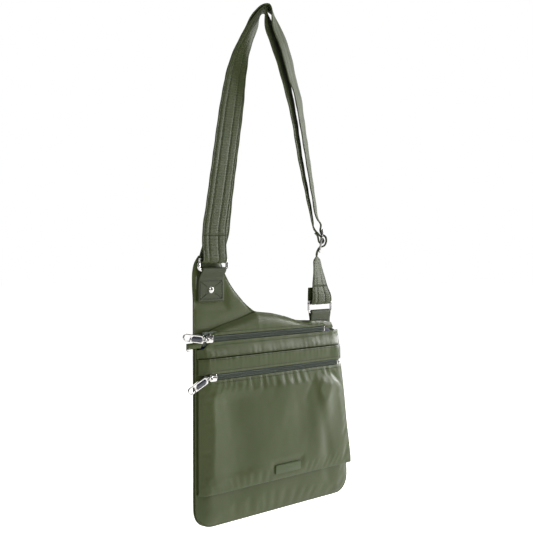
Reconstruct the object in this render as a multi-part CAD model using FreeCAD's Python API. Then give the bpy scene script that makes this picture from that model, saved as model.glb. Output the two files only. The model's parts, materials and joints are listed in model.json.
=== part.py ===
import FreeCAD, Part
import math
import os

# A flat crossbody bag with a one-sided shoulder wing, hanging from its strap.
# Millimetres.  X is the bag's width, to the viewer's right.  The front faces -Y.  +Z is up.
# The origin is under the strap's crown, where a hook or a hand carries the bag.

V = FreeCAD.Vector

# ---- driving dimensions ------------------------------------------------------------------------
LEFT = -109.0            # left edge of the bag
BOTTOM = -586.0          # bottom edge
CORNER_R = 20.0          # bottom corners
TOP_RIGHT = (129.0, -380.0)
RIGHT_SIDE = [(131.0, -430.0), (138.0, -495.0), (146.0, -545.0)]
RIGHT_LOW = 147.0        # widest point, at the right, near the bottom

WING_TOP = [(-109.0, -304.0), (-106.5, -293.0), (-100.0, -285.5), (-90.0, -283.0), (-76.0, -284.5),
            (-67.0, -292.0), (-62.0, -304.0)]
WING_NECK = [(-55.0, -314.5), (-46.0, -326.0), (-31.0, -340.0), (-14.0, -351.0)]
TOP_EDGE = [(14.0, -354.0), (40.0, -359.5), (58.0, -365.0), (95.0, -367.0), (116.0, -368.5), (122.0, -377.0)]
WING_SEAM = [(-40.0, -358.0), (-69.0, -364.0), (-89.0, -370.0), (-96.0, -372.0)]

# layers, front to back (Y)
POCKET_FRONT = -13.0     # face of the pocket panel
POCKET_BACK = -10.5
WALL_FRONT = -5.2        # front wall behind the pocket
WALL_BACK = -2.7
UPPER_FRONT = -6.0       # facing and yoke, either side of the main zip
UPPER_BACK = -3.5
LINING_T = 0.6
INNER_BACK = 3.0         # wing front and rear lining lie here
FOAM_FRONT = 3.8
FOAM_BACK = 4.6
BACK = 6.0               # rear face of the bag

SEAM_W = 4.0             # width of the gusset and of the pocket's side walls
PIPING = 1.2
YOKE_SEAM_Z = -398.0     # where the pocket is sewn on
HEM_Z = -549.0           # lower edge of the pocket panel
SEAM_GAP = 0.2           # room between panels that are sewn edge to edge
BADGE_X = 5.0            # the blank badge's left edge, low on the pocket
BADGE_Z = -541.5
BADGE_W = 42.5
BADGE_H = 10.0
BADGE_T = 1.8
BADGE_R = 1.0

# zips
ZIP_GAP = 4.3            # half of the opening that shows the zip
TAPE_HALF = 8.0
TAPE_T = 0.8
COIL_IN = 0.75
COIL_OUT = 2.6
COIL_T = 1.8
MAIN_ZIP = {"name": "main_zip", "y": UPPER_BACK, "z": -377.0, "start": -100.4, "end": 104.0,
            "slider_x": -93.0, "pull_tilt": 9.0}
POCKET_ZIP = {"name": "pocket_zip", "y": POCKET_BACK, "z": -419.0, "start": -104.0, "end": 121.0,
              "slider_x": -94.0, "pull_tilt": -24.0}
SLIDER_L = 11.0
SLIDER_HALF_W = 3.9
PULL_L = 31.0
PULL_W = 8.6
PULL_T = 1.6
LINK_WIRE = 0.55
LINK_R = 2.0
LINK_R2 = 1.6

# strap and its hardware
STRAP_W = 36.0
STRAP_T = 2.0
TURN = 46.0              # the strap's crown is turned this far from the bag's face
CROWN_TWIST = 48.0
RING_IN_W = 38.4         # inside width of the right ring and of the strap slider
LEFT_IN_W = 39.2         # inside width of the left ring
LEFT_RING_X = -84.0
LEFT_RING_Y = -2.6
LEFT_BAR_TOP = -289.0
LEFT_BAR_LOW = -301.0
LEFT_WIRE = 1.75
LEFT_CORNER = 4.2        # radius of the ring's wire centre line at a corner
RIGHT_RING_X = 98.0
RIGHT_RING_Y = -1.0
RIGHT_BAR_TOP = -342.6
RIGHT_BAR_LOW = -355.8
RIGHT_WIRE = 1.5
RIGHT_CORNER = 3.0
TAB_W = 36.0
TAB_T = 1.6
LEFT_NECK = 10.5         # how far below the ring's bar the tab's two layers meet
RIGHT_NECK = 6.5
LEFT_TAB_LOW = -336.0
RIGHT_TAB_LOW = -371.6
LEFT_LOOP_IN = 2.6       # inner radius of the strap's loop on the left ring
RIGHT_LOOP_IN = 2.4
TAB_LOOP_PLAY = 0.4      # room between a ring's wire and its tab
RIVET_Z = -323.0
SLIDER_CENTRE = V(100.5, -1.0, -268.0)
SLIDER_TWIST = 42.0
SLIDER_LEAN = 8.0
GLIDE_W = 44.4
GLIDE_H = 29.0
GLIDE_BAR = 2.6
GLIDE_T = 2.0
# where the strap's runs meet the pieces at the slider: depth and height in the slider's own plane
BEND_TOP = (3.0, 19.0)
BEND_LOW = (3.0, -19.0)
LOOP_TAIL = (10.5, 13.0)
THROUGH_END = (3.0, 20.0)
RETURN_END = (11.3, 14.0)
STRAND_END = (3.0, -19.8)
OVERLAP = 0.6            # how far a loop runs into the straight that it is joined to


# ---- helpers -----------------------------------------------------------------------------------
def export(shape, node):
    if not shape.isValid():
        print("INVALID", node)
    if len(shape.Solids) == 1:
        shape = shape.Solids[0]
    shape.exportStep("parts/" + node + ".step")


def face(points):
    """A face in the XZ plane from (x, z) points."""
    ring = [V(x, 0, z) for x, z in points]
    return Part.Face(Part.makePolygon(ring + [ring[0]]))


def plate(shape, y_front, y_back):
    """Extrude a face of the XZ plane between two depths."""
    moved = shape.copy()
    moved.translate(V(0, y_front, 0))
    return moved.extrude(V(0, y_back - y_front, 0))


def box(x0, x1, y0, y1, z0, z1):
    return Part.makeBox(x1 - x0, y1 - y0, z1 - z0, V(x0, y0, z0))


def arc_points(cx, cz, r, start, end, steps):
    """Points on a circle, angles in degrees from +X towards +Z."""
    out = []
    for i in range(steps + 1):
        a = math.radians(start + (end - start) * i / steps)
        out.append((cx + r * math.cos(a), cz + r * math.sin(a)))
    return out


def inset(shape, distance):
    return shape.makeOffset2D(-distance, 2, False, False, True)


def below(shape, z, z_low=-700.0):
    return shape.common(face([(-400, z), (400, z), (400, z_low), (-400, z_low)]))


def torus(centre, axis, major, minor):
    return Part.makeTorus(major, minor, centre, axis)


# ---- outlines ----------------------------------------------------------------------------------
def bag_outline():
    """The back panel's outline, with the shoulder wing at the left."""
    lower_left = arc_points(LEFT + CORNER_R, BOTTOM + CORNER_R, CORNER_R, 180, 270, 8)
    lower_right = arc_points(RIGHT_LOW - CORNER_R, BOTTOM + CORNER_R, CORNER_R, 270, 360, 8)
    right = list(reversed(RIGHT_SIDE)) + [TOP_RIGHT]
    top = list(reversed(TOP_EDGE)) + list(reversed(WING_NECK)) + list(reversed(WING_TOP))
    return face(lower_left + lower_right + right + top)


def facing_outline():
    """The strip above the main zip, up to the diagonal wing seam and the top edge."""
    z = MAIN_ZIP["z"] + ZIP_GAP
    low = [(-96.0 + 3.0, z), (118.0, z)]
    top = list(reversed(TOP_EDGE[:-1])) + [WING_NECK[-1]] + WING_SEAM[:-1]
    return face(low + top)


def yoke_outline():
    z = MAIN_ZIP["z"] - ZIP_GAP
    right_low = (129.8, YOKE_SEAM_Z)
    return face([(LEFT, YOKE_SEAM_Z), right_low, TOP_RIGHT, (122.0, z + 1.0), (110.0, z), (-92.0, z),
                 (-100.0, z - 6.0), (LEFT, z - 7.0)])


# ---- soft body ---------------------------------------------------------------------------------
def build_body():
    bag = bag_outline()
    export(plate(bag, FOAM_BACK, BACK), "back_panel")
    export(plate(inset(bag, SEAM_W), FOAM_FRONT, FOAM_BACK), "back_foam")
    wing = bag.common(face([(-200, -372), (-40, -372), (-14.5, -351.5), (0, -300), (0, -270), (-200, -270)]))
    rivet_hole = Part.makeCylinder(4.0, 20, V(LEFT_RING_X, -10, RIVET_Z), V(0, 1, 0))
    export(plate(wing, INNER_BACK, FOAM_FRONT).cut(rivet_hole), "wing_front")
    export(plate(facing_outline(), UPPER_FRONT, UPPER_BACK), "top_facing")
    export(plate(yoke_outline(), UPPER_FRONT, UPPER_BACK), "front_yoke")
    export(plate(below(bag, YOKE_SEAM_Z - SEAM_GAP), WALL_FRONT, WALL_BACK), "front_panel")

    inner = inset(bag, SEAM_W)
    band = below(bag, -386.0).cut(inner)
    export(plate(band, WALL_BACK, FOAM_FRONT), "body_gusset")
    export(plate(below(inner, -372.5), INNER_BACK, INNER_BACK + LINING_T), "lining_back")
    export(plate(below(inner, -386.0), WALL_BACK, WALL_BACK + LINING_T), "lining_front")

    rim = bag.makeOffset2D(PIPING, 0, False, False, True).cut(bag)
    export(plate(rim, FOAM_FRONT, BACK), "back_piping")
    export(plate(below(rim, YOKE_SEAM_Z - SEAM_GAP), WALL_FRONT, WALL_BACK), "front_piping")

    # the seam that joins the facing and the back along the top edge, left of the right tab
    top = [WING_NECK[-1]] + TOP_EDGE[:3] + [(78.0, -366.0)]
    low = [(x, z - 3.0) for x, z in reversed(top)]
    export(plate(face(top + low), UPPER_BACK, INNER_BACK), "top_seam")


def build_pocket():
    bag = bag_outline()
    zip_z = POCKET_ZIP["z"]
    top = YOKE_SEAM_Z - SEAM_GAP
    upper = below(bag, top, zip_z + ZIP_GAP)
    panel = below(bag, zip_z - ZIP_GAP, HEM_Z)
    whole = below(bag, top, HEM_Z)
    room = below(inset(bag, SEAM_W), top - SEAM_W, HEM_Z + SEAM_W)
    export(plate(upper, POCKET_FRONT, POCKET_BACK), "pocket_facing")
    export(plate(panel, POCKET_FRONT, POCKET_BACK), "pocket_panel")
    export(plate(whole.cut(room), POCKET_BACK, WALL_FRONT), "pocket_gusset")
    badge = box(BADGE_X, BADGE_X + BADGE_W, POCKET_FRONT - BADGE_T, POCKET_FRONT, BADGE_Z, BADGE_Z + BADGE_H)
    export(badge.makeFillet(BADGE_R, [e for e in badge.Edges if abs(e.tangentAt(0).y) > 0.9]), "badge")


# ---- zips --------------------------------------------------------------------------------------
def half_tape(spec, side):
    x0, x1, z, y = spec["start"], spec["end"], spec["z"], spec["y"]
    near, far = sorted((z + side * COIL_IN, z + side * TAPE_HALF))
    return box(x0, x1, y, y + TAPE_T, near, far)


def half_coil(spec, side):
    x0, x1, z, y = spec["start"] + 1.5, spec["end"] - 3.0, spec["z"], spec["y"]
    near, far = sorted((z + side * COIL_IN, z + side * COIL_OUT))
    return box(x0, x1, y - COIL_T, y, near, far)


def stops(spec):
    """Two metal stops clamped on the coil's ends."""
    z, y = spec["z"], spec["y"]
    out = []
    for x0, x1 in ((spec["start"], spec["start"] + 1.4), (spec["end"] - 2.9, spec["end"] - 1.4)):
        out.append(box(x0, x1, y - COIL_T - 0.1, y, z - COIL_OUT - 0.2, z + COIL_OUT + 0.2))
    return Part.makeCompound(out)


def slider(spec):
    """Front and back plates joined by the wedge post, side lips and the bail on the front."""
    x, y, z = spec["slider_x"], spec["y"], spec["z"]
    x0, x1 = x - SLIDER_L / 2, x + SLIDER_L / 2
    front = y - COIL_T - 0.4
    body = box(x0, x1, front - 1.4, front, z - SLIDER_HALF_W, z + SLIDER_HALF_W)
    upright = [e for e in body.Edges if abs(e.tangentAt(0).y) > 0.9]
    body = body.makeFillet(2.2, upright)
    for side in (-1, 1):
        near, far = sorted((z + side * (COIL_OUT + 0.4), z + side * SLIDER_HALF_W))
        body = body.fuse(box(x0 + 2.0, x1 - 2.0, front, y - 0.4, near, far))
    back = box(x0 + 1.0, x1 - 1.0, y + TAPE_T + 0.4, y + TAPE_T + 1.4, z - 3.2, z + 3.2)
    post = box(x0 + 1.2, x0 + 4.2, front - 0.2, y + TAPE_T + 0.6, z - 0.35, z + 0.35)
    top = front - 1.4
    bail = box(x0 + 1.6, x1 - 2.0, top - 2.6, top + 0.1, z - 0.7, z + 0.7)
    bail = bail.cut(box(x0 + 2.6, x1 - 4.4, top - 1.6, top, z - 2, z + 2))
    return body.fuse([back, post, bail]).removeSplitter(), V(x0 + 2.6 + LINK_WIRE + 0.35, top - 0.8, z)


def link(at):
    """A twisted link: one loop through the bail, the other, turned a quarter, through the pull's eye."""
    first = torus(V(-LINK_R, 0, 0), V(0, 1, 0), LINK_R, LINK_WIRE)
    second = torus(V(-2 * LINK_R - LINK_R2, 0, 0), V(0, 0, 1), LINK_R2, LINK_WIRE)
    both = first.fuse(second)
    both.translate(at)
    return both, V(at.x - 2 * LINK_R - 2 * LINK_R2, at.y, at.z)


def slot_face(x0, x1, half):
    """A round-ended slot along X, centred on z = 0."""
    top = [(x, z) for x, z in arc_points(x1 - half, 0, half, -90, 90, 12)]
    low = [(x, z) for x, z in arc_points(x0 + half, 0, half, 90, 270, 12)]
    return face(top + low)


def pull_parts(eye, tilt):
    """Frame with an eye, an inlay window and an open snap loop closed by a gate, then tilted in its plane."""
    half = PULL_W / 2
    tail = -PULL_L
    outline = slot_face(tail, 1.9, half)
    neck = face([(-3.0, -half - 1), (3.0, -half - 1), (3.0, -1.9), (-1.0, -1.9)])
    neck_top = face([(-3.0, half + 1), (3.0, half + 1), (3.0, 1.9), (-1.0, 1.9)])
    frame = plate(outline.cut(neck).cut(neck_top), -PULL_T / 2, PULL_T / 2)
    hole = Part.makeCylinder(1.15, 10, V(0, -5, 0), V(0, 1, 0))
    window = plate(slot_face(-19.0, -3.4, 2.7), -5, 5)
    loop = plate(slot_face(tail + 1.6, -20.6, half - 1.6), -5, 5)
    mouth = box(-27.4, -21.2, -5, 5, -half - 1, -half + 2.2)
    frame = frame.cut(hole).cut(window).cut(loop).cut(mouth)
    inlay = plate(slot_face(-18.9, -3.5, 2.6), -PULL_T / 2 + 0.2, PULL_T / 2 - 0.2)
    gate = box(-27.1, -21.5, -0.7, 0.7, -half + 0.1, -half + 1.4)
    parts = [frame, inlay, gate]
    for p in parts:
        p.rotate(V(0, 0, 0), V(0, 1, 0), tilt)
        p.translate(eye)
    pivot = V(-21.5, 0, -half + 0.75)
    a = math.radians(tilt)
    hinge = V(pivot.x * math.cos(a) + pivot.z * math.sin(a), 0, pivot.z * math.cos(a) - pivot.x * math.sin(a))
    return parts, hinge + eye


def build_zip(spec):
    name = spec["name"]
    export(half_tape(spec, 1), name + "_tape_upper")
    export(half_tape(spec, -1), name + "_tape_lower")
    export(half_coil(spec, 1), name + "_coil_upper")
    export(half_coil(spec, -1), name + "_coil_lower")
    export(stops(spec), name + "_stops")
    body, bail = slider(spec)
    export(body, name + "_slider")
    ring, eye = link(bail)
    export(ring, name + "_link")
    (frame, inlay, gate), hinge = pull_parts(eye, spec["pull_tilt"])
    export(frame, name + "_pull")
    export(inlay, name + "_inlay")
    export(gate, name + "_gate")
    print(name, "bail", bail, "eye", eye, "gate hinge", hinge)


def build_zip_end():
    """The folded fabric tab past the main zip's closed end, and the small ring in its hole."""
    y0, y1 = -4.6, -3.0
    outline = face([(-100.5, -375.0), (-100.5, -381.0), (-104.0, -386.5), (-124.5, -386.5), (-124.5, -380.0),
                    (-104.0, -379.5)])
    hole_at = V(-122.2, (y0 + y1) / 2, -384.0)
    hole = Part.makeCylinder(1.3, 10, V(hole_at.x, -10, hole_at.z), V(0, 1, 0))
    export(plate(outline, y0, y1).cut(hole), "zip_end_tab")
    radius = 2.3
    export(torus(hole_at - V(0, 0, radius), V(1, 0, 0), radius, 0.45), "zip_end_ring")
    print("zip end ring", hole_at)


# ---- strap hardware ----------------------------------------------------------------------------
def wire_ring(x, y, z_top, z_low, in_width, wire, corner):
    """A closed ring of round wire: a rounded rectangle in the XZ plane."""
    half = in_width / 2 + wire
    centre = V(x, y, (z_top + z_low) / 2)
    up = (z_top - z_low) / 2
    r = min(corner, up)
    c = [V(half - r, 0, up - r), V(-half + r, 0, up - r), V(-half + r, 0, -up + r), V(half - r, 0, -up + r)]
    edges = []
    diag = r * math.sqrt(0.5)
    signs = [(1, 1), (-1, 1), (-1, -1), (1, -1)]
    marks = []
    for (sx, sz), at in zip(signs, c):
        side = at + V(sx * r, 0, 0)
        end = at + V(0, 0, sz * r)
        mid = at + V(sx * diag, 0, sz * diag)
        marks.append((side, mid, end) if sx * sz > 0 else (end, mid, side))
    for i, (a, m, b) in enumerate(marks):
        edges.append(Part.Arc(a, m, b).toShape())
        nxt = marks[(i + 1) % 4][0]
        if b.distanceToPoint(nxt) > 1e-6:
            edges.append(Part.LineSegment(b, nxt).toShape())
    path = Part.Wire(edges)
    start = marks[0][2]
    circle = Part.Wire(Part.makeCircle(wire, start, V(1, 0, 0)))
    ring = path.makePipeShell([circle], True, True)
    ring.translate(centre)
    return ring


def loop_tab(x, y, bar_z, wire, neck, low_z, y_low_front, y_low_back):
    """A strip folded round a ring's lower bar, both layers sewn flat from 'neck' below it."""
    r_in = wire + TAB_LOOP_PLAY
    r_out = r_in + TAB_T
    ring = [(y + r_out * math.cos(math.radians(a)), bar_z + r_out * math.sin(math.radians(a)))
            for a in range(-20, 201, 20)]
    pts = ring + [(y_low_front, bar_z - neck), (y_low_front, low_z)]
    pts += [(y_low_back, low_z), (y_low_back, bar_z - neck)]
    wire_pts = [V(x - TAB_W / 2, py, pz) for py, pz in pts]
    solid = Part.Face(Part.makePolygon(wire_pts + [wire_pts[0]])).extrude(V(TAB_W, 0, 0))
    return solid.cut(Part.makeCylinder(r_in, TAB_W + 2, V(x - TAB_W / 2 - 1, y, bar_z), V(1, 0, 0)))


def build_hardware():
    left = wire_ring(LEFT_RING_X, LEFT_RING_Y, LEFT_BAR_TOP, LEFT_BAR_LOW, LEFT_IN_W, LEFT_WIRE, LEFT_CORNER)
    export(left, "left_ring")
    right = wire_ring(RIGHT_RING_X, RIGHT_RING_Y, RIGHT_BAR_TOP, RIGHT_BAR_LOW, RING_IN_W, RIGHT_WIRE,
                      RIGHT_CORNER)
    export(right, "right_ring")
    tab = loop_tab(LEFT_RING_X, LEFT_RING_Y, LEFT_BAR_LOW, LEFT_WIRE, LEFT_NECK, LEFT_TAB_LOW,
                   INNER_BACK - 2 * TAB_T, INNER_BACK)
    rivet = V(LEFT_RING_X, 0, RIVET_Z)
    tab = tab.cut(Part.makeCylinder(1.5, 20, rivet - V(0, 10, 0), V(0, 1, 0)))
    export(tab, "left_tab")
    front = INNER_BACK - 2 * TAB_T
    ball = Part.makeSphere(5.2, V(rivet.x, front + 3.4, rivet.z))
    dome = ball.common(box(rivet.x - 6, rivet.x + 6, front - 4, front, rivet.z - 6, rivet.z + 6))
    export(dome.fuse(Part.makeCylinder(1.45, 3.2, V(rivet.x, front, rivet.z), V(0, 1, 0))), "rivet_cap")
    washer = Part.makeCylinder(4.0, FOAM_FRONT - INNER_BACK, V(rivet.x, INNER_BACK, rivet.z), V(0, 1, 0))
    export(washer, "rivet_back")
    tab = loop_tab(RIGHT_RING_X, RIGHT_RING_Y, RIGHT_BAR_LOW, RIGHT_WIRE, RIGHT_NECK, RIGHT_TAB_LOW,
                   RIGHT_RING_Y - TAB_T, RIGHT_RING_Y + TAB_T)
    export(tab, "right_tab")


def glide_frame(shape):
    """Place a shape made flat (width X, up Z) on the strap slider's plane."""
    out = shape.copy()
    out.rotate(V(0, 0, 0), V(1, 0, 0), SLIDER_LEAN)
    out.rotate(V(0, 0, 0), V(0, 0, 1), SLIDER_TWIST)
    out.translate(SLIDER_CENTRE)
    return out


def build_glide():
    """The strap slider: a flat frame with a centre bar."""
    half_w, half_h = GLIDE_W / 2, GLIDE_H / 2
    frame = box(-half_w, half_w, -GLIDE_T / 2, GLIDE_T / 2, -half_h, half_h)
    frame = frame.makeFillet(3.0, [e for e in frame.Edges if abs(e.tangentAt(0).y) > 0.9])
    for z0, z1 in ((GLIDE_BAR / 2, half_h - GLIDE_BAR), (-half_h + GLIDE_BAR, -GLIDE_BAR / 2)):
        frame = frame.cut(box(-RING_IN_W / 2, RING_IN_W / 2, -5, 5, z0, z1))
    export(glide_frame(frame), "strap_slider")


# ---- strap -------------------------------------------------------------------------------------
def spot(across, y, z, twist):
    """A strap station.  'across' is the distance along the turned plane of the crown."""
    turn = math.radians(TURN)
    x = (across + math.sin(turn) * y) / math.cos(turn)
    return V(x, y, z), twist


def crown(across, z, twist=CROWN_TWIST):
    """A station in the plane of the crown."""
    turn = math.radians(TURN)
    return V(across * math.cos(turn), -across * math.sin(turn), z), twist


# from the back of the left ring, over the top as the outer layer, down to the strap slider
THROUGH_RUN = [
    (V(LEFT_RING_X, LEFT_RING_Y + LEFT_LOOP_IN + STRAP_T / 2, LEFT_BAR_TOP), 0),
    spot(-52.6, 0.6, -262, 0), spot(-48.5, 1.2, -222, 0), spot(-43.7, 2.3, -180, 0),
    spot(-38.7, 3.8, -138, 0), spot(-34.9, 5.8, -105, 2), spot(-31.8, 8.0, -76, 8),
    spot(-26.0, 10.5, -50, 18), spot(-16.8, 12.2, -24, 28), crown(-12.6, -12, 34),
    crown(-8.6, -4, 42), crown(-5.0, 1.4), crown(0, 3.4), crown(4.4, 3.2), crown(9.0, -1.4, 42),
    crown(12.6, -11, 33), spot(15.6, -11.5, -22, 28), spot(23.0, -12.5, -40, 28),
    spot(27.8, -12.2, -55, 28), spot(33.7, -10.8, -78, 27), spot(39.6, -9.3, -94, 29),
    spot(44.8, -7.6, -122, 32), spot(52.6, -5.0, -168, 34), spot(60.0, -3.0, -212, 36),
    spot(65.2, -2.0, -240, 38),
]
# from the front of the left ring, over the top as the inner layer, down to the slider's centre bar
RETURN_RUN = [
    (V(LEFT_RING_X, LEFT_RING_Y - LEFT_LOOP_IN - STRAP_T / 2, LEFT_BAR_TOP), 0),
    spot(-55.1, -4.6, -262, 0), spot(-50.3, -2.4, -222, 0), spot(-44.9, -0.9, -180, 0),
    spot(-39.8, 0.8, -138, 0), spot(-35.4, 2.6, -105, 2), spot(-31.0, 4.6, -76, 8),
    spot(-25.2, 6.8, -50, 18), spot(-15.3, 8.5, -24, 28), crown(-10.3, -13.4, 34),
    crown(-7.1, -6.8, 42), crown(-3.6, -1.2), crown(0, 1.0), crown(2.6, -1.4, 42),
    crown(4.6, -9, 33), spot(7.2, -7.6, -22, 28), spot(13.1, -8.2, -40, 28),
    spot(18.6, -8.4, -55, 28), spot(25.3, -8.2, -78, 27), spot(35.7, -6.6, -122, 32),
    spot(43.4, -4.4, -168, 34), spot(53.0, -2.4, -214, 36), spot(58.4, -1.6, -240, 38),
]


# the lower strand's twist at some shares of the way from the right ring up to the slider
LOWER_TWISTS = ((0.22, 3), (0.36, 6), (0.54, 17), (0.76, 27), (0.93, 35))


def section(at, along, twist):
    """The strap's cross-section at a station: its width stays level."""
    a = math.radians(twist)
    w = V(math.cos(a), math.sin(a), 0)
    n = w.cross(along).normalize()
    u = w * (STRAP_W / 2)
    h = n * (STRAP_T / 2)
    pts = [at + u + h, at - u + h, at - u - h, at + u - h]
    return Part.makePolygon(pts + [pts[0]])


def run_solid(stations, first=0, final=None):
    """A strap run between two stations of a list, as a ruled loft."""
    wires = []
    last = len(stations) - 1
    final = last if final is None else final
    for i in range(first, final + 1):
        before = stations[max(i - 1, 0)][0]
        after = stations[min(i + 1, last)][0]
        wires.append(section(stations[i][0], after - before, stations[i][1]))
    return Part.makeLoft(wires, True, True)


def ribbon(profile, width, t):
    """A strip of constant thickness along a (y, z) polyline, extruded along X, centred on x = 0."""
    left, right = [], []
    last = len(profile) - 1
    for i, (y, z) in enumerate(profile):
        y0, z0 = profile[max(i - 1, 0)]
        y1, z1 = profile[min(i + 1, last)]
        length = math.hypot(y1 - y0, z1 - z0)
        ny, nz = -(z1 - z0) / length, (y1 - y0) / length
        left.append((y + ny * t / 2, z + nz * t / 2))
        right.append((y - ny * t / 2, z - nz * t / 2))
    pts = [V(-width / 2, y, z) for y, z in left + right[::-1]]
    return Part.Face(Part.makePolygon(pts + [pts[0]])).extrude(V(width, 0, 0))


def half_turn(mid):
    """The strap's half turn under a ring's upper bar, as (y, z) points, front leg first."""
    return [(mid * math.cos(math.radians(a)), mid * math.sin(math.radians(a))) for a in range(-180, 1, 15)]


def build_strap():
    runs = ((THROUGH_RUN, THROUGH_END, "through"), (RETURN_RUN, RETURN_END, "return"))
    legs = []
    for stations, end, name in runs:
        crest = next(i for i, (at, twist) in enumerate(stations) if abs(at.x) < 0.01 and abs(at.y) < 0.01)
        whole = stations + [(glide_point(0.0, *end), SLIDER_TWIST)]
        legs.append(run_solid(whole, 0, 1))
        export(run_solid(whole, 1, crest), "strap_" + name + "_left")
        export(run_solid(whole, crest, len(whole) - 1), "strap_" + name + "_right")
    mid = LEFT_LOOP_IN + STRAP_T / 2
    loop = ribbon([(-mid, OVERLAP)] + half_turn(mid) + [(mid, OVERLAP)], STRAP_W, STRAP_T)
    loop.translate(V(LEFT_RING_X, LEFT_RING_Y, LEFT_BAR_TOP))
    export(loop.fuse(legs).removeSplitter(), "strap_ring_loop")

    # through the slider: behind the lower bar, over the centre bar, behind the upper bar
    over_bar = [(2.8, -13.0), (0.4, -8.2), (-4.6, -5.6), (-6.4, 0.0), (-4.6, 5.6), (0.4, 8.2), (2.8, 13.0)]
    bend = [BEND_LOW] + over_bar + [BEND_TOP]
    export(glide_frame(ribbon(bend, STRAP_W, STRAP_T)), "strap_slider_bend")
    # the sewn end round the centre bar
    r = 2.0 + STRAP_T / 2
    hook = [(r * math.cos(math.radians(a)), r * math.sin(math.radians(a))) for a in range(135, 346, 15)]
    loop = [LOOP_TAIL, (4.0, 7.4)] + hook + [(5.5, 5.7), (9.0, 8.7)]
    export(glide_frame(ribbon(loop, STRAP_W, STRAP_T)), "strap_slider_loop")

    # the lower strand: from the slider down, round the right ring's upper bar, its end sewn back behind
    mid = RIGHT_LOOP_IN + STRAP_T / 2
    top = glide_point(0.0, *STRAND_END)
    front = V(RIGHT_RING_X, RIGHT_RING_Y - mid, RIGHT_BAR_TOP + SEAM_GAP)
    lower = [(front, 0), (front + V(0, 0.1, 6), 3)]
    for share, twist in LOWER_TWISTS:
        lower.append((front + (top - front) * share, twist))
    lower.append((top, SLIDER_TWIST))
    turn = half_turn(mid) + [(mid, 6.0), (mid - 0.6, 17.0)]
    loop = ribbon(turn, STRAP_W, STRAP_T)
    loop.translate(V(RIGHT_RING_X, RIGHT_RING_Y, RIGHT_BAR_TOP))
    export(loop, "strap_fold_back")
    export(run_solid(lower), "strap_lower_strand")


def glide_point(x, y, z):
    p = Part.Vertex(V(x, y, z))
    return glide_frame(p).Point


# ---- build -------------------------------------------------------------------------------------
os.makedirs("parts", exist_ok=True)
build_body()
build_pocket()
build_zip(MAIN_ZIP)
build_zip(POCKET_ZIP)
build_zip_end()
build_hardware()
build_glide()
build_strap()
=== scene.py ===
import json
import math

import bpy
import numpy as np
from mathutils import Vector, noise
from mathutils.geometry import delaunay_2d_cdt

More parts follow.
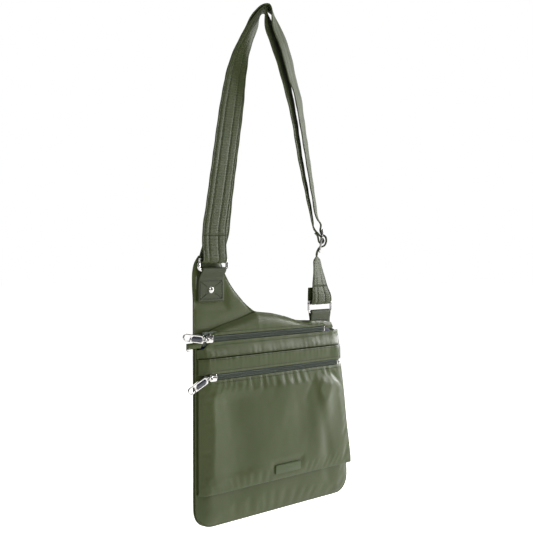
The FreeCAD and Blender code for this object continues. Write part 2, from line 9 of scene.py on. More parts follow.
# The looks of a flat crossbody bag that hangs from its strap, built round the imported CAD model.
# Shapes are worked out in millimetres and turned into metres when an object is made.
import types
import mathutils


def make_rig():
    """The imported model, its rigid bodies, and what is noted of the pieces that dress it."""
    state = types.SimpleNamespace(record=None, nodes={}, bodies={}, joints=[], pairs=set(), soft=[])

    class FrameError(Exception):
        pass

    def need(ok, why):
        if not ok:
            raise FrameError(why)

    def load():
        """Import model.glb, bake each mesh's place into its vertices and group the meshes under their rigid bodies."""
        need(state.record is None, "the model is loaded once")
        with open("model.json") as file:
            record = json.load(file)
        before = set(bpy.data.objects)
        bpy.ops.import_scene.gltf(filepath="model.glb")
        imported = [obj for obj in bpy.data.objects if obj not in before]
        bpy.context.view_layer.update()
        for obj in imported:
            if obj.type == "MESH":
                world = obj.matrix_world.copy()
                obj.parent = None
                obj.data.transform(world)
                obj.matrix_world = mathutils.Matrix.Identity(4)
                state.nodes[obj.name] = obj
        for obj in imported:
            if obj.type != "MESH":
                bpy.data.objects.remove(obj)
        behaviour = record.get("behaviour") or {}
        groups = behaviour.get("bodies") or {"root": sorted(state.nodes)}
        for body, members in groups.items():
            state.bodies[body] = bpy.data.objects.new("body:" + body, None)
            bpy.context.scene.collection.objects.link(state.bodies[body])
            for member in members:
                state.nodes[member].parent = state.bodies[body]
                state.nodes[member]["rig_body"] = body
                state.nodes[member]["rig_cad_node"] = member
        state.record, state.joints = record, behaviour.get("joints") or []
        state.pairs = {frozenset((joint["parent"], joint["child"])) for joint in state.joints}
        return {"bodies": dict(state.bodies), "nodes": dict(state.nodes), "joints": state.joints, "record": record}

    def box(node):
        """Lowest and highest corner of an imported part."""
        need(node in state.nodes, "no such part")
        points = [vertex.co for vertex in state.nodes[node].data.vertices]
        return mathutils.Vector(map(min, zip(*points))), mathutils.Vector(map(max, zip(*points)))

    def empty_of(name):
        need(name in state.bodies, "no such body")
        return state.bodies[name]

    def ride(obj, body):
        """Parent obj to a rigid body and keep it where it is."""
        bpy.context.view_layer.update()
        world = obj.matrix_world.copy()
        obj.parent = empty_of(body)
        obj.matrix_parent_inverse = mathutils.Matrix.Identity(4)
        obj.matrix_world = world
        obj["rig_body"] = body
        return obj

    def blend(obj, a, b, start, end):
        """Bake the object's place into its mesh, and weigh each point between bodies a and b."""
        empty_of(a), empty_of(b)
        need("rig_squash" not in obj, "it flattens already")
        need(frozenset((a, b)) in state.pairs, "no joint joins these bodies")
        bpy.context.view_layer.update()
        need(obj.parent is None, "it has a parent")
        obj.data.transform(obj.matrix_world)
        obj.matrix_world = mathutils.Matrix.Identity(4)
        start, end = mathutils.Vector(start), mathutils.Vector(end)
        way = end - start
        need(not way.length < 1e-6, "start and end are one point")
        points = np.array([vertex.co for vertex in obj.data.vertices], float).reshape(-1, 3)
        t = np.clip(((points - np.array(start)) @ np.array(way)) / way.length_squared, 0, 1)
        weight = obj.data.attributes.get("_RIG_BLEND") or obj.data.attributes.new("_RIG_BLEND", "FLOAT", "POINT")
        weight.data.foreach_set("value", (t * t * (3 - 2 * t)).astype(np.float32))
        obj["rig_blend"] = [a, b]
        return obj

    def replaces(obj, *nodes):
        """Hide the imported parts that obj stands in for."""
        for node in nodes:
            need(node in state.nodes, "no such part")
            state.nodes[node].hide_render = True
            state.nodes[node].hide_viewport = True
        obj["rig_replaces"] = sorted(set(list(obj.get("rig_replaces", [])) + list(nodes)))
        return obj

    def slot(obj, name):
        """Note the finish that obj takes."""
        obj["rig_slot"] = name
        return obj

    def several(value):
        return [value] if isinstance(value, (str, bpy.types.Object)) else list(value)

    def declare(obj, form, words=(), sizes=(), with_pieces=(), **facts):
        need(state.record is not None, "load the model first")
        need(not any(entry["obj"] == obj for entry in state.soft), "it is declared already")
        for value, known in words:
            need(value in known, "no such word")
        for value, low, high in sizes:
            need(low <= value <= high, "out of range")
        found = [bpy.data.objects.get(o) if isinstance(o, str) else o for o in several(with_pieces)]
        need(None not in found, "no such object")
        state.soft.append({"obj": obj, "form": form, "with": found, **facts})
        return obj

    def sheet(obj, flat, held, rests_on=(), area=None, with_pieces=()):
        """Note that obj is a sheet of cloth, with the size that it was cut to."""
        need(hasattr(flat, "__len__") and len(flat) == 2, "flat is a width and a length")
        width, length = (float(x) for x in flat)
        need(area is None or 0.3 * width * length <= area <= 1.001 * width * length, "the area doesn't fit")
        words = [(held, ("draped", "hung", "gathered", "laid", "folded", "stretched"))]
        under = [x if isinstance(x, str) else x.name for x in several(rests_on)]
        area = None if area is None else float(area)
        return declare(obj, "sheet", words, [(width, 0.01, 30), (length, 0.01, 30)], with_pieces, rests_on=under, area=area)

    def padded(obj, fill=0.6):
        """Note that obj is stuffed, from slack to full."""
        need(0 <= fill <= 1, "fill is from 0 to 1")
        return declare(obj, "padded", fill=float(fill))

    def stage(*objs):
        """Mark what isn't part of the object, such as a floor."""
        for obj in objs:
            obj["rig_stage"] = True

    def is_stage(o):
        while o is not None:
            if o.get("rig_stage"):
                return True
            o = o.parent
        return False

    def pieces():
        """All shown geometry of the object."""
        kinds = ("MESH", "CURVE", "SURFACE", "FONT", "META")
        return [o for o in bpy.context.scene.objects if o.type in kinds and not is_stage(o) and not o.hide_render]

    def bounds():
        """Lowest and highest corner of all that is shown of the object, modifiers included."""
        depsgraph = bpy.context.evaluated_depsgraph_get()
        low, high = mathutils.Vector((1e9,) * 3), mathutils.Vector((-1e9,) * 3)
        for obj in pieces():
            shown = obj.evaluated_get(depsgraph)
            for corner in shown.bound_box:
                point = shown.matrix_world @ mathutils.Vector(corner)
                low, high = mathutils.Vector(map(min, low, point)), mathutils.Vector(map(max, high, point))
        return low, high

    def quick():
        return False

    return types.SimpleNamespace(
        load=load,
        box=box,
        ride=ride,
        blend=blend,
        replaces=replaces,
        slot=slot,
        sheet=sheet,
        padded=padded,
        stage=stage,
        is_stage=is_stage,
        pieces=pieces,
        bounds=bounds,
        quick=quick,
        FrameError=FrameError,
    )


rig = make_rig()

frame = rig.load()
cad_low, cad_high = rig.bounds()
MM = 0.001

# ---- driving values ------------------------------------------------------------------------------
CELL = 3.4               # size of a fabric panel's mesh
STITCH = 3.2             # pitch of the stitching
STITCH_LENGTH = 2.3
THREAD_R = 0.30
LAP = 1.2                # how far a panel's edge reaches over its zip
LAP_FADE = 8.0


def box_mm(node):
    low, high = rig.box(node)
    return np.array(low) / MM, np.array(high) / MM


bag_low = box_mm("back_panel")[0]
pocket_low, pocket_high = box_mm("pocket_panel")
band_low, band_high = box_mm("pocket_facing")
yoke_low, yoke_high = box_mm("front_yoke")
facing_low = box_mm("top_facing")[0]
tab_low, tab_high = box_mm("left_tab")
right_tab_low, right_tab_high = box_mm("right_tab")
badge_low, badge_high = box_mm("badge")
seam_z = band_high[2]    # where the pocket is sewn to the yoke
hem_z = pocket_low[2]


# ---- camera, floor and light ---------------------------------------------------------------------
CAMERA_AT = (-0.8396, -0.8155, -0.2732)
CAMERA_AZIMUTH = 45.97   # degrees from +Y towards +X
CAMERA_DIP = 1.23
LENS = 67.54
AMBIENT = 0.16
FLOOR_HALF = 9.0
FLOOR_DROP = 0.14        # from the bag's lowest point down to the floor


def build_camera():
    data = bpy.data.cameras.new("camera")
    data.lens = LENS
    cam = bpy.data.objects.new("camera", data)
    bpy.context.scene.collection.objects.link(cam)
    a, e = math.radians(CAMERA_AZIMUTH), math.radians(CAMERA_DIP)
    ahead = Vector((math.sin(a) * math.cos(e), math.cos(a) * math.cos(e), -math.sin(e)))
    cam.location = CAMERA_AT
    cam.rotation_euler = ahead.to_track_quat("-Z", "Y").to_euler()
    bpy.context.scene.camera = cam


def area_light(name, at, target, size, power, tall=None):
    data = bpy.data.lights.new(name, "AREA")
    data.energy = power
    data.size = size
    if tall:
        data.shape = "RECTANGLE"
        data.size_y = tall
    lamp = bpy.data.objects.new(name, data)
    bpy.context.scene.collection.objects.link(lamp)
    lamp.location = at
    lamp.rotation_euler = (Vector(target) - Vector(at)).to_track_quat("-Z", "Y").to_euler()


def build_stage():
    scene = bpy.context.scene
    scene.view_settings.view_transform = "Standard"
    world = bpy.data.worlds.new("studio")
    scene.world = world
    world.use_nodes = True
    back = world.node_tree.nodes["Background"]
    back.inputs["Color"].default_value = (1.0, 1.0, 1.0, 1)
    nodes, links = world.node_tree.nodes, world.node_tree.links
    path = nodes.new("ShaderNodeLightPath")
    place = nodes.new("ShaderNodeTexCoord")
    split = nodes.new("ShaderNodeSeparateXYZ")
    links.new(place.outputs["Generated"], split.inputs[0])
    # what polished metal mirrors: a dark studio with pale bands, brighter overhead
    bands = nodes.new("ShaderNodeValToRGB")
    stops = bands.color_ramp.elements
    stops[0].position, stops[0].color = 0.30, (0.05, 0.05, 0.05, 1)
    stops[1].position, stops[1].color = 1.0, (0.40, 0.40, 0.40, 1)
    for at, value in ((0.50, 0.03), (0.57, 0.05), (0.62, 0.65), (0.70, 0.06), (0.80, 0.80)):
        stop = stops.new(at)
        stop.color = (value, value, value, 1)
    links.new(split.outputs["Z"], bands.inputs["Fac"])
    glossy = nodes.new("ShaderNodeMix")
    glossy.inputs["A"].default_value = AMBIENT
    links.new(path.outputs["Is Glossy Ray"], glossy.inputs["Factor"])
    links.new(bands.outputs["Color"], glossy.inputs["B"])
    seen = nodes.new("ShaderNodeMix")
    seen.inputs["B"].default_value = 1.0
    links.new(path.outputs["Is Camera Ray"], seen.inputs["Factor"])
    links.new(glossy.outputs["Result"], seen.inputs["A"])
    links.new(seen.outputs["Result"], back.inputs["Strength"])

    mesh = bpy.data.meshes.new("floor")
    half, z = FLOOR_HALF, bag_low[2] * MM - FLOOR_DROP
    corners = [(-half, -half, z), (half, -half, z), (half, half, z), (-half, half, z)]
    mesh.from_pydata(corners, [], [(0, 1, 2, 3)])
    floor = bpy.data.objects.new("floor", mesh)
    scene.collection.objects.link(floor)
    paint = bpy.data.materials.new("floor_paint")
    paint.use_nodes = True
    bsdf = paint.node_tree.nodes["Principled BSDF"]
    bsdf.inputs["Base Color"].default_value = (0.93, 0.93, 0.93, 1)
    bsdf.inputs["Roughness"].default_value = 0.9
    bsdf.inputs["Emission Color"].default_value = (1, 1, 1, 1)
    bsdf.inputs["Emission Strength"].default_value = 0.90
    mesh.materials.append(paint)
    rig.stage(floor)

    middle = (0.02, 0.0, -0.36)
    area_light("key", (-0.75, -1.85, 0.75), middle, 0.8, 11.0, 1.3)
    area_light("fill", (1.95, -0.50, 0.10), middle, 0.45, 46.0, 0.9)
    area_light("rim", (0.9, 1.4, 0.7), middle, 1.0, 9.0)


# ---- node materials ------------------------------------------------------------------------------
class Nodes:
    """A few words to write a node tree with."""

    def __init__(self, name):
        self.material = bpy.data.materials.new(name)
        self.material.use_nodes = True
        self.tree = self.material.node_tree
        self.shader = self.tree.nodes["Principled BSDF"]

    def add(self, kind, values=None, **settings):
        node = self.tree.nodes.new("ShaderNode" + kind)
        for key, value in settings.items():
            setattr(node, key, value)
        for key, value in (values or {}).items():
            node.inputs[key].default_value = value
        return node

    def link(self, out, into):
        self.tree.links.new(out, into)

    def maths(self, operation, a, b):
        node = self.add("Math", operation=operation)
        for socket, value in zip(node.inputs, (a, b)):
            if isinstance(value, (int, float)):
                socket.default_value = value
            else:
                self.link(value, socket)
        return node.outputs[0]

    def texture(self, kind, place, values, **settings):
        node = self.add("Tex" + kind, values, **settings)
        self.link(place, node.inputs["Vector"])
        return node

    def bands(self, place, period, direction, values):
        """Wave bands of this period in metres."""
        return self.texture("Wave", place, {"Scale": 2 * math.pi / (20 * period), **values},
                            wave_type="BANDS", bands_direction=direction)

    def colour(self, share, dark, light, start=0.0, end=1.0):
        """Base colour, from dark to light as the share goes from start to end."""
        ramp = self.add("ValToRGB")
        for stop, at, value in zip(ramp.color_ramp.elements, (start, end), (dark, light)):
            stop.position = at
            stop.color = (*value, 1)
        self.link(share, ramp.inputs["Fac"])
        self.link(ramp.outputs["Color"], self.shader.inputs["Base Color"])

    def roughness(self, share, low, high):
        spread = self.add("MapRange", {"To Min": low, "To Max": high})
        self.link(share, spread.inputs["Value"])
        self.link(spread.outputs["Result"], self.shader.inputs["Roughness"])

    def relief(self, height, strength, distance):
        bump = self.add("Bump", {"Strength": strength, "Distance": distance})
        self.link(height, bump.inputs["Height"])
        self.link(bump.outputs["Normal"], self.shader.inputs["Normal"])

    def set(self, **values):
        for key, value in values.items():
            self.shader.inputs[key.replace("_", " ")].default_value = value


def scaled(colour, share):
    return [c * share for c in colour]


def woven(name, colour, period, rough, sheen, relief, strap=False):
    """Woven cloth: warp and weft relief, slow colour variation and a soft sheen."""
    n = Nodes(name)
    body = n.add("TexCoord").outputs["Object"]
    place = n.add("UVMap", uv_map="cloth").outputs[0] if strap else body
    loose = {"Distortion": 0.4, "Detail": 1.0}
    warp = n.bands(place, period, "X", loose)
    weft = n.bands(place, period * 1.25, "Y" if strap else "Z", loose)
    weave = n.maths("MULTIPLY", warp.outputs["Fac"], weft.outputs["Fac"])
    slow = n.texture("Noise", body, {"Scale": 14.0, "Detail": 4.0, "Roughness": 0.55}).outputs["Fac"]
    fine = n.texture("Noise", body, {"Scale": 900.0, "Detail": 2.0}).outputs["Fac"]
    tone = n.maths("ADD", n.maths("MULTIPLY", slow, 0.8), n.maths("MULTIPLY", weave, 0.2))
    n.colour(tone, scaled(colour, 1 - MOTTLING), scaled(colour, 1 + MOTTLING), 0.25, 0.75)
    n.roughness(slow, rough - 0.06, rough + 0.08)
    height = n.maths("ADD", weave, n.maths("MULTIPLY", fine, 0.5))
    if strap:
        ribs = n.bands(place, STRAP_RIB, "Y", {})
        height = n.maths("ADD", height, n.maths("MULTIPLY", ribs.outputs["Fac"], 2.2))
    n.relief(height, relief, 0.0002)
    n.set(Sheen_Weight=sheen, Sheen_Roughness=0.4, Sheen_Tint=(0.75, 0.85, 0.6, 1), Specular_IOR_Level=0.28)
    return n.material


def plated(name, colour, rough):
    """Plated metal with faint hairlines and small changes of gloss."""
    n = Nodes(name)
    place = n.add("TexCoord").outputs["Object"]
    clouds = n.texture("Noise", place, {"Scale": 160.0, "Detail": 3.0}).outputs["Fac"]
    n.roughness(clouds, rough - 0.05, rough + 0.09)
    stretch = n.add("Mapping", {"Scale": (1.0, 1.0, 9.0)})
    n.link(place, stretch.inputs["Vector"])
    lines = n.texture("Noise", stretch.outputs[0], {"Scale": 1200.0, "Detail": 1.0})
    n.relief(lines.outputs["Fac"], 0.05, 0.0001)
    n.colour(clouds, scaled(colour, 0.9), colour)
    n.set(Metallic=1.0)
    return n.material


def moulded(name, colour, rough, grain_scale, relief, coat=0.0):
    """Moulded or coated stuff with a fine grain."""
    n = Nodes(name)
    place = n.add("TexCoord").outputs["Object"]
    grain = n.texture("Voronoi", place, {"Scale": grain_scale})
    clouds = n.texture("Noise", place, {"Scale": 60.0, "Detail": 3.0}).outputs["Fac"]
    n.colour(clouds, scaled(colour, 0.85), scaled(colour, 1.15))
    n.roughness(clouds, rough - 0.06, rough + 0.06)
    n.relief(grain.outputs["Distance"], relief, 0.0002)
    n.set(Coat_Weight=coat, Coat_Roughness=0.15, Specular_IOR_Level=0.3)
    return n.material


MOTTLING = 0.12          # how far cloth colours stray to either side
STRAP_RIB = 0.0030       # metres from rib to rib of the webbing
OLIVE = (0.051, 0.066, 0.018)
nylon = woven("nylon_satin", OLIVE, 0.0006, 0.38, 0.04, 0.12)
webbing = woven("strap_nylon", (0.043, 0.054, 0.018), 0.0011, 0.58, 0.04, 0.45, strap=True)
thread = woven("thread", (0.018, 0.024, 0.011), 0.0005, 0.6, 0.05, 0.2)
tape_cloth = woven("zip_tape_weave", (0.080, 0.100, 0.076), 0.0008, 0.6, 0.05, 0.35)
lining_cloth = woven("lining_weave", (0.008, 0.012, 0.045), 0.0005, 0.55, 0.1, 0.15)
foam_stuff = moulded("foam_cells", (0.45, 0.45, 0.43), 0.9, 1500.0, 0.4)
tab_leather = moulded("tab_grain", (0.034, 0.043, 0.017), 0.62, 1100.0, 0.30, 0.03)
coil_nylon = moulded("coil_nylon", (0.075, 0.092, 0.074), 0.42, 3000.0, 0.08)
nickel = plated("nickel_plate", (0.60, 0.59, 0.57), 0.18)
enamel = moulded("enamel", (0.016, 0.020, 0.032), 0.22, 900.0, 0.03, 0.5)
badge_stuff = moulded("badge_rubber", (0.066, 0.088, 0.036), 0.45, 1600.0, 0.12)


# ---- meshes --------------------------------------------------------------------------------------
def make_object(name, verts, faces, materials, face_materials=None):
    mesh = bpy.data.meshes.new(name)
    mesh.from_pydata((np.asarray(verts, float) * MM).tolist(), [], [list(map(int, f)) for f in faces])
    for m in materials:
        mesh.materials.append(m)
    if face_materials is not None:
        mesh.polygons.foreach_set("material_index", np.asarray(face_materials, np.int32))
    mesh.polygons.foreach_set("use_smooth", np.ones(len(faces), bool))
    mesh.update()
    obj = bpy.data.objects.new(name, mesh)
    bpy.context.scene.collection.objects.link(obj)
    return obj


def settle(obj, slot, *nodes):
    """Hang a piece on the bag, in place of its CAD nodes and with its material slot."""
    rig.ride(obj, "bag")
    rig.replaces(obj, *nodes)
    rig.slot(obj, slot)


class Bunch:
    """Meshes gathered into one."""

    def __init__(self):
        self.verts, self.faces, self.marks, self.count = [], [], [], 0

    def add(self, verts, faces, mark=0):
        self.verts.append(np.asarray(verts, float))
        self.faces += [[i + self.count for i in f] for f in faces]
        self.marks += [mark] * len(faces)
        self.count += len(verts)

    def make(self, name, materials):
        return make_object(name, np.vstack(self.verts), self.faces, materials, self.marks)


def unit(v):
    return v / np.maximum(np.linalg.norm(v, axis=-1, keepdims=True), 1e-9)


def evenly(path, step):
    """Points evenly spaced along a polyline, and their distances along it."""
    path = np.asarray(path, float)
    along = np.concatenate([[0], np.cumsum(np.linalg.norm(np.diff(path, axis=0), axis=1))])
    count = max(1, round(along[-1] / step))
    at = np.linspace(0, along[-1], count + 1)
    return np.stack([np.interp(at, along, path[:, k]) for k in range(path.shape[1])], 1), at


def smooth_step(t):
    t = np.clip(t, 0, 1)
    return t * t * (3 - 2 * t)


def pillow(t):
    """0 at a sewn edge, rising steeply and then levelling out at 1."""
    t = np.clip(t, 0, 1)
    return np.sqrt(1 - (1 - t) ** 2)


def ripple(points, size, seed):
    """Smooth noise from -1 to 1 at each point, with features about this many millimetres across."""
    return np.array([noise.noise(Vector((p[0] / size + seed, p[1] / size, seed * 0.7))) for p in points])


# ---- outlines ------------------------------------------------------------------------------------
def loop_area(p):
    q = np.roll(p, -1, 0)
    return abs(float((p[:, 0] * q[:, 1] - q[:, 0] * p[:, 1]).sum())) / 2


def outline(node):
    """The outline of a flat CAD node seen from the front: (x, z) points in millimetres, anticlockwise."""
    mesh = frame["nodes"][node].data
    spot_of, spots, links = {}, [], {}
    for poly in mesh.polygons:
        if poly.normal.y > -0.9:
            continue
        ring = []
        for i in poly.vertices:
            co = mesh.vertices[i].co / MM
            key = (round(co.x, 1), round(co.z, 1))
            if key not in spot_of:
                spot_of[key] = len(spots)
                spots.append((co.x, co.z))
            ring.append(spot_of[key])
        for a, b in zip(ring, ring[1:] + ring[:1]):
            if (b, a) in links:
                del links[(b, a)]
            else:
                links[(a, b)] = True
    after = {a: b for a, b in links}
    best = []
    while after:
        start, here = next(iter(after.items()))
        loop = [start]
        del after[start]
        while here != start and here in after:
            loop.append(here)
            here = after.pop(here)
        if size_of(loop, spots) > size_of(best, spots):
            best = loop
    return np.array([spots[i] for i in best])


def size_of(loop, spots):
    return loop_area(np.array([spots[i] for i in loop])) if len(loop) > 2 else 0.0


def even_loop(points, step, corner=32.0):
    """A closed outline with evenly spaced points: corners stay sharp, gentle bends are rounded."""
    pts = np.asarray(points, float)
    before, ahead = unit(pts - np.roll(pts, 1, 0)), unit(np.roll(pts, -1, 0) - pts)
    turn = np.degrees(np.arccos(np.clip((before * ahead).sum(1), -1, 1)))
    corners = list(np.where(turn > corner)[0]) or [0]
    out, fixed = [], []
    for c0, c1 in zip(corners, corners[1:] + [corners[0] + len(pts)]):
        stretch = pts[np.arange(c0, c1 + 1) % len(pts)]
        spaced, _ = evenly(stretch, step)
        out.append(spaced[:-1])
        fixed += [True] + [False] * (len(spaced) - 2)
    loop, fixed = np.vstack(out), np.array(fixed)
    for _ in range(4):
        middle = (np.roll(loop, 1, 0) + np.roll(loop, -1, 0)) / 2
        loop = np.where(fixed[:, None], loop, (loop + middle) / 2)
    return loop


def outward(loop):
    """Unit vectors that point out of an anticlockwise loop of (x, z) points."""
    along = unit(np.roll(loop, -1, 0) - np.roll(loop, 1, 0))
    return np.stack([along[:, 1], -along[:, 0]], 1)


def inside(points, loop):
    x, z = points[:, 0][:, None], points[:, 1][:, None]
    x0, z0 = loop[:, 0][None], loop[:, 1][None]
    x1, z1 = np.roll(loop[:, 0], -1)[None], np.roll(loop[:, 1], -1)[None]
    crosses = (z0 > z) != (z1 > z)
    at = x0 + (z - z0) * (x1 - x0) / np.where(z1 == z0, 1e-9, z1 - z0)
    return (crosses & (x < at)).sum(1) % 2 == 1


def distance(points, line, closed=False):
    """Distance from each point to a polyline."""
    line = np.asarray(line, float)
    a = line if closed else line[:-1]
    b = np.roll(line, -1, 0) if closed else line[1:]
    d = b - a
    t = ((points[:, None] - a[None]) * d[None]).sum(2) / np.maximum((d * d).sum(1), 1e-9)[None]
    near = a[None] + np.clip(t, 0, 1)[..., None] * d[None]
    return np.linalg.norm(points[:, None] - near, axis=2).min(1)


def fill(loop, step):
    """Near-equal triangles inside a loop. The loop's own points come first."""
    low, high = loop.min(0), loop.max(0)
    rows = []
    height = step * math.sqrt(3) / 2
    for k in range(int((high[1] - low[1]) / height) + 1):
        x = np.arange(low[0] + (k % 2) * step / 2, high[0], step)
        rows.append(np.stack([x, np.full(len(x), low[1] + k * height)], 1))
    grid = np.vstack(rows)
    grid = grid[inside(grid, loop)]
    grid = grid[distance(grid, loop, True) > 0.55 * step]
    every = np.vstack([loop, grid])
    count = len(loop)
    ring = [(i, (i + 1) % count) for i in range(count)]
    made = delaunay_2d_cdt([Vector(p) for p in every], ring, [], 1, 1e-5)
    source = [s[0] for s in made[3]]
    faces = []
    for f in made[2]:
        a, b, c = (source[i] for i in f)
        area = np.cross(every[b] - every[a], every[c] - every[a])
        faces.append((a, b, c) if area > 0 else (a, c, b))
    return every, faces


def normals_of(points, faces):
    f = np.array(faces)
    a, b, c = points[f[:, 0]], points[f[:, 1]], points[f[:, 2]]
    n = np.cross(b - a, c - a)
    total = np.zeros_like(points)
    for k in range(3):
        np.add.at(total, f[:, k], n)
    return unit(total)


# ---- cloth ---------------------------------------------------------------------------------------
def relax(name, points, faces, sewn, slack, push, frames=20, stiff=0.6):
    """Cloth simulation of a panel sewn at its edge, at ten times its size, with a little spare cloth."""
    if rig.quick():
        return points
    scale = 0.01
    mesh = bpy.data.meshes.new(name + "_sim")
    mesh.from_pydata((points * scale).tolist(), [], [list(map(int, f)) for f in faces])
    obj = bpy.data.objects.new(name + "_sim", mesh)
    bpy.context.scene.collection.objects.link(obj)
    group = obj.vertex_groups.new(name="sewn")
    group.add([int(i) for i in np.where(sewn)[0]], 1.0, "REPLACE")
    cloth = obj.modifiers.new("Cloth", "CLOTH")
    s = cloth.settings
    s.quality = 6
    s.mass = 0.2
    s.tension_stiffness = 25
    s.compression_stiffness = 20
    s.shear_stiffness = 8
    s.bending_stiffness = stiff
    s.air_damping = 3.0
    s.vertex_group_mass = "sewn"
    s.shrink_min = -slack
    s.use_pressure = True
    s.uniform_pressure_force = push
    s.effector_weights.gravity = 0
    scene = bpy.context.scene
    for k in range(1, frames + 1):
        scene.frame_set(k)
    graph = bpy.context.evaluated_depsgraph_get()
    result = obj.evaluated_get(graph).to_mesh()
    moved = np.array([v.co for v in result.vertices], float) / scale
    obj.evaluated_get(graph).to_mesh_clear()
    scene.frame_set(1)
    bpy.data.objects.remove(obj)
    return moved


class Panel:
    """A sewn fabric panel: its outer face, as a mesh over an outline, and what is needed to finish it."""

    def __init__(self, node, thickness, depth, facing=-1, cell=CELL, slack=0.0, push=0.0, cap=2.0, sew=None,
                 after=None, inset=None, lap=None):
        ring = even_loop(outline(node), cell)
        ring = ring - outward(ring) * (thickness / 2 if inset is None else inset)
        flat, faces = fill(ring, cell)
        self.count = len(ring)
        edge = distance(flat, ring, True)
        y = depth(flat[:, 0], flat[:, 1], edge)
        points = np.stack([flat[:, 0], y, flat[:, 1]], 1)
        if facing > 0:
            faces = [f[::-1] for f in faces]
        sewn = np.arange(len(points)) < self.count
        if sew is not None:
            sewn = sewn & sew(flat[:, 0], flat[:, 1])
        if slack or push:
            moved = relax(node, points, faces, sewn, slack, push)
            shift = moved - points
            size = np.linalg.norm(shift, axis=1, keepdims=True)
            points = points + shift * np.minimum(1, cap / np.maximum(size, 1e-9))
        if after is not None:
            points[:, 1] = after(points[:, 0], points[:, 2], points[:, 1], edge)
        if lap is not None:
            edge_z, reach = lap
            amount = reach(points[:, 0]) if callable(reach) else reach
            points[:, 2] += amount * (1 - smooth_step(np.abs(points[:, 2] - edge_z) / LAP_FADE))
        self.points, self.faces, self.facing, self.thickness = points, faces, facing, thickness
        self.normals = normals_of(points, faces)

    def on(self, line, lift=0.0):
        """Points of an (x, z) line laid on the panel's outer face."""
        line = np.asarray(line, float)
        flat = self.points[:, [0, 2]]
        out = []
        for p in line:
            d = np.linalg.norm(flat - p, axis=1)
            near = np.argsort(d)[:4]
            w = 1 / (d[near] + 0.05) ** 2
            at = (self.points[near] * w[:, None]).sum(0) / w.sum()
            out.append((p[0], at[1] + self.facing * lift, p[1]))
        return np.array(out)

    def build(self, name, materials, steps=4):
        """Close the panel with a back face and a rounded, folded edge."""
        n, t = self.count, self.thickness
        front = self.points
        back = front - self.normals * t
        ring = front[:n, [0, 2]]
        out = outward(ring)
        out3 = np.stack([out[:, 0], np.zeros(n), out[:, 1]], 1)
        middle = (front[:n] + back[:n]) / 2
        verts = [front, back]
        for k in range(1, steps):
            a = math.pi * k / steps
            verts.append(middle + (t / 2) * (math.cos(a) * self.normals[:n] + math.sin(a) * out3))
        total = len(front)
        starts = [0] + [2 * total + k * n for k in range(steps - 1)] + [total]
        rings = [start + np.arange(n) for start in starts]
        faces = list(self.faces) + [tuple(i + total for i in f[::-1]) for f in self.faces]
        for r0, r1 in zip(rings, rings[1:]):
            for i in range(n):
                j = (i + 1) % n
                quad = (r0[i], r1[i], r1[j], r0[j])
                faces.append(quad if self.facing < 0 else quad[::-1])
        return make_object(name, np.vstack(verts), faces, materials)


def grid_faces(rows, columns, closed=False):
    faces = []
    for i in range(rows - 1):
        for j in range(columns if closed else columns - 1):
            k = (j + 1) % columns
            faces.append((i * columns + j, i * columns + k, (i + 1) * columns + k, (i + 1) * columns + j))
    return faces


def capped(rows, columns):
    """The faces of a closed skin over rings of points, with a cap at each end."""
    last = (rows - 1) * columns
    caps = [tuple(range(columns))[::-1], tuple(last + j for j in range(columns))]
    return grid_faces(rows, columns, True) + caps


def tube(path, radius, sides=8, closed=False):
    """A round tube along a path. Its radius may be a number or one value per point."""
    path = np.asarray(path, float)
    if closed:
        along = unit(np.roll(path, -1, 0) - np.roll(path, 1, 0))
    else:
        along = unit(np.gradient(path, axis=0))
    a = unit(np.cross(along, np.array((0.0, 1.0, 0.0))))
    b = np.cross(along, a)
    r = np.broadcast_to(np.asarray(radius, float), (len(path),))[:, None]
    rings = []
    for k in range(sides):
        angle = 2 * math.pi * k / sides
        rings.append(path + r * (math.cos(angle) * a + math.sin(angle) * b))
    verts = np.stack(rings, 1).reshape(-1, 3)
    if not closed:
        return verts, capped(len(path), sides)
    last = (len(path) - 1) * sides
    join = [(last + j, last + (j + 1) % sides, (j + 1) % sides, j) for j in range(sides)]
    return verts, grid_faces(len(path), sides, True) + join


SPINDLE = ((-1.0, 0.0), (-0.72, 0.8), (0.72, 0.8), (1.0, 0.0))


def stitch_run(path, normals=None, pitch=STITCH, length=STITCH_LENGTH, radius=THREAD_R):
    """Stitches along a path: each is a short spindle of thread. Returns vertices and faces."""
    spaced, at = evenly(path, pitch)
    if len(spaced) < 2:
        return np.zeros((0, 3)), []
    centres = (spaced[:-1] + spaced[1:]) / 2
    along = unit(spaced[1:] - spaced[:-1])
    if normals is None:
        side = unit(np.cross(along, np.array([0.0, 1.0, 0.0])))
    else:
        mid = np.stack([np.interp((at[:-1] + at[1:]) / 2, np.linspace(0, at[-1], len(normals)), normals[:, k])
                        for k in range(3)], 1)
        side = unit(np.cross(along, mid))
    up = np.cross(along, side)
    verts, faces = [], []
    for c, t, s, u in zip(centres, along, side, up):
        base = len(verts)
        verts.append(c - t * length / 2)
        for station, r in SPINDLE[1:3]:
            for k in range(4):
                a = math.pi / 2 * k + math.pi / 4
                out = math.cos(a) * s + math.sin(a) * u
                verts.append(c + t * station * length / 2 + radius * r * 1.25 * out)
        verts.append(c + t * length / 2)
        for k in range(4):
            m = (k + 1) % 4
            faces.append((base, base + 1 + m, base + 1 + k))
            faces.append((base + 1 + k, base + 1 + m, base + 5 + m, base + 5 + k))
            faces.append((base + 9, base + 5 + k, base + 5 + m))
    return np.array(verts), faces


# ---- the bag's fabric panels ---------------------------------------------------------------------
stitching = Bunch()      # every seam's stitches on the bag
left_x = bag_low[0]
RIGHT_SIDE_FROM = 120.0  # every point of the outline beyond this belongs to the right edge


